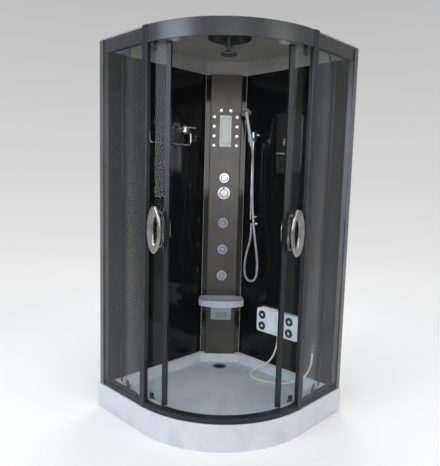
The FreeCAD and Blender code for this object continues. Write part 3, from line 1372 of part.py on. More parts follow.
def make_fittings():
    """Make the chrome trims: jet rings, knob plates, top shower's arm and the massager hose's elbow."""
    trims = []
    for index, z in enumerate(jet_heights(), start=1):
        name = f"jet_ring_{index}"
        disc = cylinder(f"{name}_disc", (0, column_face - d.jet_ring, z), d.jet_radius, d.jet_ring, TO_Y)
        soft = bevelled(f"{name}_soft", disc, d.jet_bevel, lambda edge: (
            edge.isClosed() and near(edge.BoundBox.YMax, column_face - d.jet_ring)))
        barrel = cylinder(f"{name}_barrel", (0, column_face - 1, z), d.jet_barrel, d.jet_barrel_depth + 1,
                          TO_Y)
        seat = sphere(f"{name}_seat", (0, ball_y, z), d.ball_radius + d.ball_play)
        bore = cylinder(f"{name}_bore", (0, ball_y, z), d.jet_bore, d.jet_barrel_depth + PAST, TO_Y)
        trims.append(cut(name, fuse(f"{name}_whole", soft, barrel), seat, bore))
    for name, z, radius in (("diverter_plate", d.diverter_height, d.diverter_plate),
                            ("mixer_plate", d.mixer_height, d.mixer_plate)):
        base = (0, column_face - d.plate_thickness, z)
        disc = cylinder(f"{name}_disc", base, radius, d.plate_thickness, TO_Y)
        soft = bevelled(f"{name}_soft", disc, d.plate_thickness / 2, lambda edge: (
            edge.isClosed() and near(edge.BoundBox.YMax, column_face - d.plate_thickness)))
        hole = cylinder(f"{name}_hole", (0, base[1] - PAST, z), d.spindle_radius + d.cartridge_play,
                        d.plate_thickness + 2 * PAST, TO_Y)
        trims.append(cut(name, soft, hole))
    y = apex_y - d.top_shower_place
    flange = cylinder("arm_flange", (0, y, d.ceiling_height - d.flange_thickness), d.arm_flange,
                      d.flange_thickness)
    ball_z = d.ceiling_height - d.arm_drop
    rod = cylinder("arm_rod", (0, y, ball_z), d.arm_radius, d.arm_drop)
    ball = sphere("arm_ball", (0, y, ball_z), d.arm_ball)
    trims.append(fuse("top_shower_arm", flange, rod, ball))
    trims.append(wall_elbow("massager_elbow", d.elbow_place, d.elbow_height, d.elbow_stand, d.elbow_radius,
                            d.elbow_drop))
    trims[-1].Placement = CORNER
    node(group("chrome_trims_group", *trims), "chrome_trims")


def wall_elbow(name, place, height, stand, radius, drop):
    """Make a hose outlet on the right back panel: a flange, a stub and a spout that points down."""
    flange = cylinder(f"{name}_flange", (wall_face, place, height), d.flange_radius, d.flange_thickness, TO_X)
    stub = cylinder(f"{name}_stub", (wall_face, place, height), radius, stand, TO_X)
    knuckle = sphere(f"{name}_knuckle", (wall_face + stand, place, height), radius)
    spout = cylinder(f"{name}_spout", (wall_face + stand, place, height - drop), radius, drop)
    return fuse(name, flange, stub, knuckle, spout)


def make_nozzles():
    """Make the three swivelling nozzles, one node each: a ball with a dished face and spray holes."""
    for index, z in enumerate(jet_heights(), start=1):
        name = f"jet_nozzle_{index}"
        ball = sphere(f"{name}_ball", (0, ball_y, z), d.ball_radius)
        dish = cylinder(f"{name}_dish", (0, ball_y - d.ball_radius - PAST, z), d.nozzle_dish,
                        d.nozzle_dish_depth + PAST, TO_Y)
        holes = [cylinder(f"{name}_centre", (0, ball_y - d.ball_radius, z), d.nozzle_hole,
                          2 * d.ball_radius, TO_Y)]
        count = int(float(d.nozzle_holes))
        for step in range(count):
            angle = math.tau * step / count
            place = (d.nozzle_circle * math.cos(angle), ball_y - d.ball_radius,
                     z + d.nozzle_circle * math.sin(angle))
            holes.append(cylinder(f"{name}_hole_{step}", place, d.nozzle_hole / 2, d.ball_radius, TO_Y))
        node(cut(f"{name}_solid", ball, dish, *holes), name)


# seat, steam box and generator

def seat_plan(name, shrink, bottom, height):
    """Pad the seat's plan, smaller all round where it shapes the grooves."""
    back = column_face
    side = back - d.seat_side
    half = d.seat_half - shrink
    nose = back - d.seat_depth + shrink
    sag = side - nose
    front_radius = (half * half + sag * sag) / (2 * sag)
    corners = (
        (d.seat_back_half - shrink, back), (-(d.seat_back_half - shrink), back), (-half, back - d.seat_flare),
        (-half, side, front_radius), (half, side), (half, back - d.seat_flare),
    )
    return padded(name, corners, height, offset=bottom)


def make_seat():
    """Mould the seat: bowed nose, hollowed top and two grooves round its edge."""
    blank = seat_plan("seat_blank", 0, d.seat_under, d.seat_thickness)
    top = d.seat_under + d.seat_thickness
    soft = rounded("seat_rounded", blank, d.seat_round, lambda edge: (
        near(edge.BoundBox.ZMin, edge.BoundBox.ZMax) and edge.BoundBox.YMax < float(column_face) - 1))
    dish = cylinder("seat_dish", (-d.seat_dish_half, column_face - d.seat_dish_place,
                                  top - d.seat_dish + d.seat_dish_radius),
                    d.seat_dish_radius, 2 * d.seat_dish_half, TO_X)
    tools = [dish]
    core = seat_plan("seat_groove_core", d.seat_groove, d.seat_under - PAST, d.seat_thickness + 2 * PAST)
    for index in (1, 2):
        z = d.seat_under + d.seat_thickness * index / 3 - d.seat_groove / 2
        slab = box(f"seat_groove_slab_{index}", (-d.seat_half - PAST, column_face - d.seat_depth - PAST, z),
                   (2 * d.seat_half + 2 * PAST, d.seat_depth, d.seat_groove))
        tools.append(cut(f"seat_groove_{index}", slab, core))
    node(cut("seat_solid", soft, *tools), "seat")


def make_steam_box():
    """Make the box under the seat, with its steam slots."""
    bottom = d.seat_under - d.box_height
    front = column_face - d.box_depth
    stock = box("steam_box_stock", (-d.box_half, front, bottom), (2 * d.box_half, d.box_depth, d.box_height))
    soft = rounded("steam_box_rounded", stock, d.box_round, lambda edge: (
        near(edge.BoundBox.YMax, front) and along(edge, 2)))
    slots = []
    for index in range(3):
        z = bottom + d.box_slot_step * (index + 1)
        slots.append(box(f"steam_slot_{index}", (-d.box_slot_length / 2, front - PAST, z),
                         (d.box_slot_length, d.box_slot_depth + PAST, d.box_slot_height)))
    node(cut("steam_box_solid", soft, *slots), "steam_box")


def make_generator():
    """Make the steam generator behind the column, with its pipe to the steam box."""
    y = panel_y + d.corner_panel_thickness
    tank = box("generator_tank", (-d.generator_half, y, d.generator_bottom),
               (2 * d.generator_half, d.generator_depth, d.generator_height))
    soft = rounded("generator_rounded", tank, d.box_round, lambda edge: along(edge, 2))
    z = d.seat_under - d.box_height + d.steam_pipe_rise
    pipe = cylinder("generator_pipe", (0, column_face, z), d.steam_pipe, y - column_face + 1, TO_Y)
    node(fuse("generator_solid", soft, pipe), "steam_generator")


# right wall: riser, handset, mirror and foot massager

def make_riser():
    """Make the riser rail on two brackets, and the hose outlet below it."""
    tall = d.riser_top - d.riser_bottom
    parts = [cylinder("riser_tube", (riser_x, d.riser_place, d.riser_bottom), d.riser_radius, tall)]
    for name, z in (("low", d.riser_bottom + d.bracket_inset), ("high", d.riser_top - d.bracket_inset)):
        base = (wall_face, d.riser_place, z)
        parts.append(cylinder(f"riser_arm_{name}", base, d.bracket_radius, d.riser_stand, TO_X))
        parts.append(cylinder(f"riser_flange_{name}", base, d.flange_radius, d.flange_thickness, TO_X))
    rail = fuse("riser_solid", *parts)
    outlet = wall_elbow("hose_outlet", d.hose_outlet_place, d.hose_outlet_height, d.hose_outlet_stand,
                        d.hose_outlet_radius, d.hose_outlet_drop)
    node(group("riser_group", rail, outlet), "riser_rail", CORNER)


def make_slider():
    """Make the slider: a ring on the riser, and two ears beside it with the holder's pin."""
    x, y, z = riser_x, d.riser_place, d.slider_height
    pin_x, middle = x + d.slider_arm, y + d.slider_side
    low = z - d.ear_radius
    parts = [cylinder("slider_ring", (x, y, z - d.slider_long / 2), d.slider_radius, d.slider_long)]
    half = d.holder_radius + d.slider_play * 5 + d.ear_thickness
    parts.append(box("slider_bridge", (x + d.slider_bridge_place, middle - half, low),
                     (d.slider_bridge, 2 * half, 2 * d.ear_radius)))
    for side, start in (("one", middle - half), ("two", middle + half - d.ear_thickness)):
        parts.append(box(f"slider_ear_{side}", (x + d.slider_bridge_place, start, low),
                         (d.slider_arm - d.slider_bridge_place, d.ear_thickness, 2 * d.ear_radius)))
        parts.append(cylinder(f"slider_ear_round_{side}", (pin_x, start, z), d.ear_radius, d.ear_thickness,
                              TO_Y))
    parts.append(cylinder("slider_pin", (pin_x, middle - half, z), d.pin_radius, 2 * half, TO_Y))
    bore = cylinder("slider_bore", (x, y, z - d.slider_long), d.riser_radius + d.slider_play,
                    2 * d.slider_long)
    node(cut("slider_solid", fuse("slider_whole", *parts), bore), "handset_slider", CORNER)


def make_handset():
    """Make the handset with its head, and the holder that it sits in, on the slider's pin."""
    pin_x = riser_x + d.slider_arm
    stand = d.holder_stand
    block = cylinder("holder_cup", (stand, 0, -d.holder_long / 2), d.holder_radius, d.holder_long)
    knuckle = cylinder("holder_knuckle", (0, -d.holder_radius, 0), d.ear_radius - 1, 2 * d.holder_radius,
                       TO_Y)
    bore = cylinder("holder_bore", (0, -d.pin_long, 0), d.pin_radius + d.pin_play, 2 * d.pin_long, TO_Y)
    seat = cylinder("holder_seat", (stand, 0, -d.holder_long), d.grip_neck + d.pin_play, 2 * d.holder_long)
    holder = cut("holder", fuse("holder_whole", block, knuckle), bore, seat)

    under = d.holder_long / 2
    shank = cylinder("handset_shank", (stand, 0, -d.grip_under), d.grip_neck, d.grip_under + under)
    nut = cylinder("handset_nut", (stand, 0, -d.grip_under - d.nut_long), d.nut_radius, d.nut_long)
    grip = cone("handset_grip", (stand, 0, under), d.grip_radius, d.grip_neck, d.grip_long)
    top = under + d.grip_long
    face_turn = FreeCAD.Rotation(Vector(0, 1, 0), float(d.head_face) + 90)
    head = cone("handset_head", (stand - d.head_thickness / 2, 0, top), d.head_radius / 2, d.head_radius,
                d.head_thickness, face_turn)
    rim = cylinder("handset_rim", (stand - d.head_thickness / 2, 0, top), d.head_radius, d.head_thickness / 3,
                   face_turn)
    reach = face_turn.multVec(Vector(0, 0, float(d.head_thickness)))
    rim.setExpression("Placement.Base.x", None)
    rim.setExpression("Placement.Base.z", None)
    rim.Placement = FreeCAD.Placement(Vector(float(stand - d.head_thickness / 2) + reach.x, 0,
                                             float(top) + reach.z), face_turn)
    handset = fuse("handset_solid", shank, nut, grip, head, rim)
    side = d.riser_place + d.slider_side
    tilt = FreeCAD.Placement(Vector(float(pin_x), float(side), float(d.slider_height)),
                             FreeCAD.Rotation(Vector(0, 1, 0), float(d.handset_tilt)))
    node(group("handset_group", handset, holder), "handset", CORNER.multiply(tilt))


def make_mirror():
    """Cut the mirror with round corners."""
    stock = box("mirror_stock", (wall_face, d.mirror_start, d.mirror_bottom),
                (d.mirror_thickness, d.mirror_width, d.mirror_long))
    node(rounded("mirror_solid", stock, d.mirror_round, lambda edge: along(edge, 0)), "mirror", CORNER)


def ring_spots():
    """List the four massage rings' places on the massager's face."""
    along_wall = (d.massager_start + d.ring_first, d.massager_start + d.ring_first + d.ring_spread)
    heights = (d.massager_bottom + d.ring_low, d.massager_bottom + d.ring_low + d.ring_step)
    return [(y, z) for y in along_wall for z in heights]


def make_massager():
    """Make the foot massager: a moulded panel with four rings, a slot and a ledge."""
    face = wall_face + d.massager_depth
    stock = box("massager_stock", (wall_face, d.massager_start, d.massager_bottom),
                (d.massager_depth, d.massager_long, d.massager_tall))
    corners = rounded("massager_corners", stock, d.massager_corner, lambda edge: along(edge, 0))
    soft = rounded("massager_soft", corners, d.massager_round, lambda edge: (
        near(edge.BoundBox.XMin, face) and near(edge.BoundBox.XMax, face)))
    ledge = box("massager_ledge", (wall_face, d.massager_start + d.ledge_place,
                                   d.massager_bottom + d.massager_tall - 1),
                (d.ledge_depth, d.ledge_long, d.ledge_tall + 1))
    tools = []
    rings = []
    for index, (y, z) in enumerate(ring_spots(), start=1):
        start = face - d.ring_sink
        well = cylinder(f"ring_well_{index}", (start, y, z), d.ring_radius + d.ring_play,
                        d.ring_sink + PAST, TO_X)
        boss = cylinder(f"ring_post_{index}", (start - PAST, y, z), d.ring_hole - d.ring_play,
                        d.ring_sink + 3 * PAST, TO_X)
        tools.append(cut(f"ring_groove_{index}", well, boss))
        tyre = cylinder(f"ring_tyre_{index}", (start, y, z), d.ring_radius, d.ring_sink + d.ring_proud, TO_X)
        soft_tyre = bevelled(f"ring_soft_{index}", tyre, d.ring_bevel, lambda edge: (
            edge.isClosed() and near(edge.BoundBox.XMin, face + d.ring_proud)))
        hole = cylinder(f"ring_hole_{index}", (start - PAST, y, z), d.ring_hole,
                        d.ring_sink + d.ring_proud + 2 * PAST, TO_X)
        rings.append(cut(f"massage_ring_{index}", soft_tyre, hole))
    slot = box("massager_slot", (face - d.massager_slot_depth, d.massager_start + d.massager_slot_place,
                                 d.massager_bottom + d.massager_slot_rise),
               (d.massager_slot_depth + PAST, d.massager_slot_long, d.massager_slot_tall))
    bosses = [cone(f"ring_boss_{index}", (face - 1, y, z), d.ring_hole - d.ring_play, d.ring_hole / 2,
                   d.ring_boss, TO_X) for index, (y, z) in enumerate(ring_spots(), start=1)]
    panel = cut("massager_cut", fuse("massager_whole", soft, ledge), slot, *tools)
    node(fuse("massager_solid", panel, *bosses), "massager_panel", CORNER)
    node(group("massager_rings_group", *rings), "massager_rings", CORNER)


# left wall: shelf and towel rail

def make_shelf():
    """Lay the glass shelf on the towel rail's brackets."""
    y = wall_face + d.shelf_gap
    stock = box("shelf_stock", (d.shelf_start, y, d.shelf_height), (d.shelf_long, d.shelf_depth,
                                                                    d.shelf_thickness))
    front = y + d.shelf_depth
    plate = rounded("shelf_solid", stock, d.shelf_round, lambda edge: (
        along(edge, 2) and near(edge.BoundBox.YMax, front)))
    node(plate, "shelf_glass", CORNER)


def make_towel_rail():
    """Bend the towel rail from wall to wall, with flanges and the shelf's supports."""
    y, out = float(wall_face), float(wall_face + d.towel_stand)
    left, right = float(d.towel_start), float(d.towel_start + d.towel_long)
    high, low = float(d.towel_bracket), float(d.towel_bracket - d.towel_drop)
    points = [Vector(left, y, high), Vector(left, out, high), Vector(left, out, low),
              Vector(right, out, low), Vector(right, out, high), Vector(right, y, high)]
    bar = tube("towel_bar", points, d.towel_radius, bend=float(d.towel_bend))
    parts = [bar]
    for name, x in (("near", d.towel_start), ("far", d.towel_start + d.towel_long)):
        base = (x, wall_face, d.towel_bracket)
        parts.append(cylinder(f"towel_flange_{name}", base, d.flange_radius, d.flange_thickness, TO_Y))
        size = 2 * d.towel_radius
        parts.append(box(f"towel_support_{name}", (x - d.towel_radius, wall_face + d.flange_thickness - 1,
                                                   d.towel_bracket),
                         (size, d.towel_stand / 2, d.shelf_height - d.towel_bracket)))
    node(fuse("towel_rail_solid", *parts), "towel_rail", CORNER)


# roof

def make_roof():
    """Mould the roof: deck, sloped edge, skirt on the back panels, ring-shaped recess and fan duct."""
    deck_top = d.ceiling_height + d.roof_shell
    edge_bottom = web_top
    edge_top = edge_bottom + d.roof_lip
    blank = sloped_quadrant("roof_blank", d.wall_back - d.roof_shell, d.roof_inset, edge_bottom, edge_top,
                            deck_top)
    inside = sloped_quadrant("roof_inside", d.wall_back, d.roof_inset + d.roof_shell, edge_bottom - PAST,
                             edge_top - d.roof_shell, d.ceiling_height)
    shell = cut("roof_shell_solid", blank, inside)
    skirt_bottom = wall_top
    skirt_tall = deck_top - skirt_bottom
    end = pane_outer - d.profile_depth
    start = d.corner_run - d.roof_skirt
    skirt = box("roof_skirt_left", (start, d.wall_back, skirt_bottom),
                (end - start, d.wall_thickness, skirt_tall))
    corner_long = (d.corner_run - wall_face) * ROOT2
    shift = d.wall_thickness / ROOT2
    corner = box("roof_skirt_corner", (wall_face - shift, d.corner_run - shift, skirt_bottom),
                 (corner_long, d.wall_thickness, skirt_tall), FreeCAD.Rotation(Vector(0, 0, 1), -45))
    recess = (d.recess_place / ROOT2, d.recess_place / ROOT2)
    raised = cylinder("roof_raised", (*recess, deck_top - 1), d.recess_outer + d.roof_shell,
                      d.recess_rise + 1)
    duct = cylinder("roof_duct", (*recess, deck_top), d.duct_radius + d.duct_wall, duct_top - deck_top)
    skirts = fuse("roof_skirts", skirt, mirrored("roof_skirt_right", skirt), corner)
    form = sloped_quadrant("roof_form", d.wall_back - d.roof_shell, d.roof_inset, skirt_bottom, edge_top,
                           deck_top)
    trimmed = shared("roof_skirts_trimmed", skirts, form)
    whole = fuse("roof_whole", shell, trimmed, raised, duct)
    ring_out = cylinder("recess_out", (*recess, d.ceiling_height - PAST), d.recess_outer,
                        d.recess_rise + PAST)
    ring_in = cylinder("recess_in", (*recess, d.ceiling_height - 2 * PAST), d.recess_inner,
                       d.recess_rise + 3 * PAST)
    ring = cut("recess_ring", ring_out, ring_in)
    way = cylinder("duct_way", (*recess, d.ceiling_height - PAST), d.duct_radius, duct_top)
    lamps = []
    for side in (-1, 1):
        x = (d.lamp_place + side * d.lamp_side) / ROOT2
        y = (d.lamp_place - side * d.lamp_side) / ROOT2
        lamps.append(cylinder(f"roof_lamp_hole_{side + 2}", (x, y, d.ceiling_height - PAST),
                              d.lamp_radius + d.lamp_play, d.lamp_body + 2 * PAST))
    node(cut("roof_solid", whole, ring, way, *lamps), "roof", CORNER)


def make_fan():
    """Make the round cover with the fan's motor and shaft, and the fan's rotor."""
    bottom = d.ceiling_height - d.grille_thickness
    disc = cylinder("grille_disc", (0, recess_y, bottom), d.grille_radius, d.grille_thickness)
    soft = rounded("grille_soft", disc, d.grille_thickness / 2, lambda edge: (
        edge.isClosed() and near(edge.BoundBox.ZMax, bottom)))
    slots = []
    long = d.grille_slot_out - d.grille_slot_in
    for step in range(int(float(d.grille_slots))):
        slot = box(f"grille_slot_{step}", (d.grille_slot_in, -d.grille_slot_width / 2, 0),
                   (long, d.grille_slot_width, d.grille_thickness + 2 * PAST))
        holder = group(f"grille_slot_{step}_at", slot)
        turn = FreeCAD.Rotation(Vector(0, 0, 1), 360 * step / float(d.grille_slots))
        holder.Placement = FreeCAD.Placement(Vector(0, float(recess_y), float(bottom) - PAST), turn)
        slots.append(holder)
    plate = cut("grille_plate", soft, *slots)
    motor = cylinder("fan_motor", (0, recess_y, d.ceiling_height - 1), d.motor_radius, d.motor_height + 1)
    motor_top = d.ceiling_height + d.motor_height
    shaft = cylinder("fan_shaft", (0, recess_y, motor_top - 1), d.shaft_radius, d.shaft_long + 1)
    node(fuse("grille_solid", plate, motor, shaft), "fan_grille")

    base = motor_top + d.hub_gap
    parts = [cylinder("fan_hub", (0, recess_y, base), d.hub_radius, d.hub_height)]
    blade_long = d.blade_radius - d.hub_radius + d.blade_root
    count = int(float(d.blades))
    for step in range(count):
        blade = box(f"fan_blade_{step}", (d.hub_radius - d.blade_root, -d.hub_height / 2,
                                          -d.blade_thickness / 2), (blade_long, d.hub_height,
                                                                    d.blade_thickness))
        pitch = FreeCAD.Rotation(Vector(1, 0, 0), float(d.blade_pitch))
        holder = group(f"fan_blade_{step}_at", blade)
        spin = FreeCAD.Rotation(Vector(0, 0, 1), 360 * step / count)
        middle = Vector(0, float(recess_y), float(base + d.hub_height / 2))
        holder.Placement = FreeCAD.Placement(middle, spin.multiply(pitch))
        parts.append(holder)
    bore = cylinder("fan_bore", (0, recess_y, base - PAST), d.shaft_radius + d.hub_bore_play,
                    d.hub_height + 2 * PAST)
    node(cut("fan_solid", fuse("fan_whole", *parts), bore), "fan_rotor")


def make_lamps():
    """Make the two small ceiling lamps."""
    bottom = d.ceiling_height - d.lamp_rim_thickness
    profile = (
        (0, 0), (d.lamp_rim, 0), (d.lamp_rim, d.lamp_rim_thickness), (d.lamp_radius, d.lamp_rim_thickness),
        (d.lamp_radius, d.lamp_rim_thickness + d.lamp_body), (0, d.lamp_rim_thickness + d.lamp_body),
    )
    lamps = []
    for side in (-1, 1):
        lamp = turned(f"lamp_{side + 2}", profile)
        lamps.append(seat_at(lamp, (side * d.lamp_side, apex_y - d.lamp_place, bottom)))
    node(group("lamps_group", *lamps), "roof_lamps")


def make_top_shower():
    """Make the top shower's rose, with a collar round the arm's ball."""
    y = apex_y - d.top_shower_place
    ball_z = d.ceiling_height - d.arm_drop
    collar_bottom = ball_z - d.rose_collar_height / 2
    rose_bottom = collar_bottom - d.rose_thickness
    disc = cylinder("rose_disc", (0, y, rose_bottom), d.rose_radius, d.rose_thickness)
    soft = rounded("rose_soft", disc, d.rose_thickness / 3, lambda edge: edge.isClosed())
    collar = cylinder("rose_collar", (0, y, collar_bottom - 1), d.rose_collar, d.rose_collar_height + 1 - 3)
    seat = sphere("rose_seat", (0, y, ball_z), d.arm_ball + d.rose_ball_play)
    way = cone("rose_way", (0, y, ball_z), d.arm_ball / 2, 2 * d.arm_ball, d.rose_collar_height)
    node(cut("rose_solid", fuse("rose_whole", soft, collar), seat, way), "top_shower")


# hoses

SHOWER_HOSE_POINTS = (
    # place along the wall, from the room wall, height
    (333, 75, 1022), (333, 75, 980), (324, 76.5, 926), (306, 79, 866), (294.5, 81.5, 808), (291.5, 83.5, 756),
    (299, 85, 713), (318.5, 86.5, 685.5), (350, 88, 675.5), (381.5, 89, 685.5), (401, 90, 713),
    (408.5, 91, 757),
    (408, 92, 812), (398, 93, 878), (383, 94, 958), (368, 94.5, 1048), (357.5, 95, 1140), (351, 95, 1235),
    (347.5, 94.5, 1330), (345.5, 93, 1410), (343.8, 94, 1466), (343, 98.4, 1512.3), (343, 108.07, 1547.2),
)
MASSAGER_HOSE_POINTS = (
    (565, 50, 354), (565, 50, 322), (563, 57, 283), (556, 66, 242), (542, 76, 204), (520, 88, 173),
    (488, 98, 150), (456, 114, 126), (438, 142, 107), (446, 174, 101), (480, 196, 101.3), (524, 204, 101),
    (570, 198, 101.3), (613, 183, 101.6), (656, 163, 103), (700, 143, 108), (738, 123, 123), (772, 106, 143),
    (802, 91, 168), (820, 78, 203), (830, 67, 246), (832, 63, 286), (832, 63, 322),
)


def corner_points(rows):
    """Turn rows of place, distance and height by the right back panel into points of the corner frame."""
    return [Vector(away, place, height) for place, away, height in rows]


def make_hoses():
    """Hang the shower hose in its loop, and lay the massager's hose over the tray."""
    hose = tube("shower_hose_tube", corner_points(SHOWER_HOSE_POINTS), d.shower_hose_radius)
    node(hose, "shower_hose", CORNER)
    hose = tube("massager_hose_tube", corner_points(MASSAGER_HOSE_POINTS), d.massager_hose_radius)
    node(hose, "massager_hose", CORNER)


BUILDERS = (make_tray, make_tray_frame, make_waste, make_rails, make_fascia, make_uprights, make_panes,
            make_wall_panels, make_door_glass, make_door_edges, make_hangers, make_wheels, make_handles,
            make_column, make_display, make_buttons, make_valve, make_knobs, make_fittings, make_nozzles,
            make_seat, make_steam_box, make_generator, make_riser, make_slider, make_handset, make_mirror,
            make_massager, make_shelf, make_towel_rail, make_roof, make_fan, make_lamps, make_top_shower,
            make_hoses, )
for build in BUILDERS:
    build()
doc.recompute()

for item in doc.Objects:
    if {"Invalid", "Error"} & set(item.State):
        raise RuntimeError(f"{item.Name} failed: {item.State}")
for item in nodes:
    if item.Shape.isNull() or not item.Shape.isValid():
        raise RuntimeError(f"{item.Label} has no valid shape")
    if not item.Shape.Solids:
        raise RuntimeError(f"{item.Label} holds no solid")

os.makedirs("parts", exist_ok=True)
for item in nodes:
    item.Shape.exportStep(f"parts/{item.Label}.step")
print(f"{len(nodes)} nodes")
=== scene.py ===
"""Dress the steam shower cabin: camera, studio, hoses, finishes and the small pieces that the solids leave out.

Metres, +Z up, origin on the floor under the middle of the cabin. The room's corner is at +Y and the doors face -Y.
"""
from __future__ import annotations

import json
import logging
import math
from collections.abc import Iterable, Sequence
from dataclasses import dataclass, field
from enum import Enum

import bpy
from mathutils import Matrix, Vector

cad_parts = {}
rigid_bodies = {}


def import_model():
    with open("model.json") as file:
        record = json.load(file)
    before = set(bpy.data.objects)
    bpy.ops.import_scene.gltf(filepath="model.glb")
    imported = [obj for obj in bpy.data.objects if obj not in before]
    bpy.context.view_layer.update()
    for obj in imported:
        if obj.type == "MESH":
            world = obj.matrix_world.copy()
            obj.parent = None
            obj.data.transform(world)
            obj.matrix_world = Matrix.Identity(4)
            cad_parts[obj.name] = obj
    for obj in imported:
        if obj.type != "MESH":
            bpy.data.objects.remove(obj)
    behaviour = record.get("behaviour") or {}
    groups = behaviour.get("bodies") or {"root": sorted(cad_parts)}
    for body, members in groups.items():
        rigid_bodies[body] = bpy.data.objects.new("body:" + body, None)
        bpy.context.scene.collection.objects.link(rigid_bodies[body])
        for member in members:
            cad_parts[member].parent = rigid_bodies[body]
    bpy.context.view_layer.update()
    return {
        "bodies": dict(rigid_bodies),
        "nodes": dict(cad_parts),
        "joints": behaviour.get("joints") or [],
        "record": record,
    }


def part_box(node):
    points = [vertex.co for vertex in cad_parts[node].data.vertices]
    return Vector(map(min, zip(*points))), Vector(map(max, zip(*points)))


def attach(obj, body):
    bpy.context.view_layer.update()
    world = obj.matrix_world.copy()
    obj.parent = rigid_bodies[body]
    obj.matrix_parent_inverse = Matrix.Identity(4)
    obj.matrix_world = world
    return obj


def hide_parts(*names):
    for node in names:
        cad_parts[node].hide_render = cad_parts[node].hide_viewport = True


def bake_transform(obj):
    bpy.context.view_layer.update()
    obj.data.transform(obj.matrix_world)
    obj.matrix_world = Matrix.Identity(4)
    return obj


LOG = logging.getLogger("steam_cabin")
MM = 0.001
ROOT2 = math.sqrt(2)
APEX_Y = 0.58388
ROUND_MIDDLE_Y = 0.01113
WALL_FACE = 33.0
BUTTONS = 10
JETS = 3
SIDE_NAMES: dict[int, str] = {-1: "left", 1: "right"}
ORIGIN = Vector((0, 0, 0))
UP = Vector((0, 0, 1))
SOCKET_KINDS: dict[type, str] = {float: "NodeSocketFloat", int: "NodeSocketInt", tuple: "NodeSocketVector"}
Colour = tuple[int, int, int]
Point = tuple[float, float, float]
Face = tuple[int, ...]
Socket = bpy.types.NodeSocket


def both(*names: str) -> tuple[str, ...]:
    """Name the left and the right one of each pair."""
    return tuple(f"{name}_{side}" for name in names for side in SIDE_NAMES.values())


def row(name: str, count: int) -> tuple[str, ...]:
    """Name the members of a numbered row."""
    return tuple(f"{name}_{number}" for number in range(1, count + 1))


def linear(colour: Colour) -> tuple[float, float, float, float]:
    """Turn a screen colour into the linear colour that a shader reads.

    Args:
        colour: red, green and blue, 0 to 255.

    Returns:
        The same colour, linear, with an alpha of 1.
    """
    parts = []
    for part in colour:
        share = part / 255
        parts.append(share / 12.92 if share <= 0.04045 else ((share + 0.055) / 1.055) ** 2.4)
    return (parts[0], parts[1], parts[2], 1.0)


def by_corner(away: float, place: float, height: float) -> Vector:
    """Find a point by its distances from the room's two walls.

    Args:
        away: distance from the right wall, mm.
        place: distance along the right wall from the room's corner, mm.
        height: height over the floor, mm.

    Returns:
        The point in the frame, metres.
    """
    x = (place - away) / ROOT2
    y = (place + away) / ROOT2
    return Vector((x * MM, APEX_Y - y * MM, height * MM))


def round_out(side: int, degrees: float) -> Vector:
    """Return the way out of the round front on one side, an angle away from its middle."""
    angle = math.radians(degrees)
    return Vector((side * math.sin(angle), -math.cos(angle), 0))


def ring(middle: Vector, radius: float, normal: Vector, count: int = 40) -> list[Vector]:
    """Lay points on a circle.

    Args:
        middle: the circle's middle.
        radius: its radius, metres.
        normal: the direction that the circle faces.
        count: the number of points.

    Returns:
        The points in order.
    """
    turn = normal.to_track_quat("Z", "Y").to_matrix()
    points = []
    for step in range(count):
        angle = math.tau * step / count
        points.append(middle + turn @ Vector((radius * math.cos(angle), radius * math.sin(angle), 0)))
    return points


def ring_pattern(pitch: float, rings: int, base: int = 6) -> list[Vector]:
    """Lay points on rings round a middle point, as on a shower head.

    Args:
        pitch: distance from ring to ring.
        rings: number of rings.
        base: points on the first ring.

    Returns:
        The points, with the middle one first.
    """
    points = [ORIGIN]
    for number in range(1, rings + 1):
        points.extend(ring(ORIGIN, pitch * number, UP, base * number))
    return points


def bands(first: int, sides: int, rings: int, closed: bool = False) -> list[Face]:
    """Join rings of points, one after the other, with bands of four-sided faces.

    Args:
        first: number of the first ring's first point.
        sides: points in each ring.
        rings: number of rings.
        closed: join the last ring to the first one too.

    Returns:
        The faces.
    """
    faces = []
    for level in range(rings if closed else rings - 1):
        low = first + level * sides
        high = first + (level + 1) % rings * sides
        for side in range(sides):
            after = (side + 1) % sides
            faces.append((low + side, high + side, high + after, low + after))
    return faces


def mesh_of(name: str, corners: Iterable[Vector], edges: Iterable[tuple[int, int]] = (),
            faces: Iterable[Face] = (), smooth: bool = False) -> bpy.types.Mesh:
    """Make a mesh.

    Args:
        name: its name.
        corners: its vertices.
        edges: pairs of vertex numbers.
        faces: the vertex numbers of each face.
        smooth: shade it smooth.

    Returns:
        The mesh.
    """
    data = bpy.data.meshes.new(name)
    data.from_pydata([tuple(corner) for corner in corners], list(edges), list(faces))
    data.polygons.foreach_set("use_smooth", [smooth] * len(data.polygons))
    data.update()
    return data


def show(name: str, data: bpy.types.ID) -> bpy.types.Object:
    """Make an object and link it to the scene.

    Args:
        name: its name.
        data: its mesh, curve, camera or lamp.

    Returns:
        The object.
    """
    made = bpy.data.objects.new(name, data)
    bpy.context.scene.collection.objects.link(made)
    return made


def frozen(shown: bpy.types.Object) -> bpy.types.Mesh:
    """Return an object's shape, with its modifiers and its bevel, as a plain mesh."""
    return bpy.data.meshes.new_from_object(shown.evaluated_get(bpy.context.evaluated_depsgraph_get()))


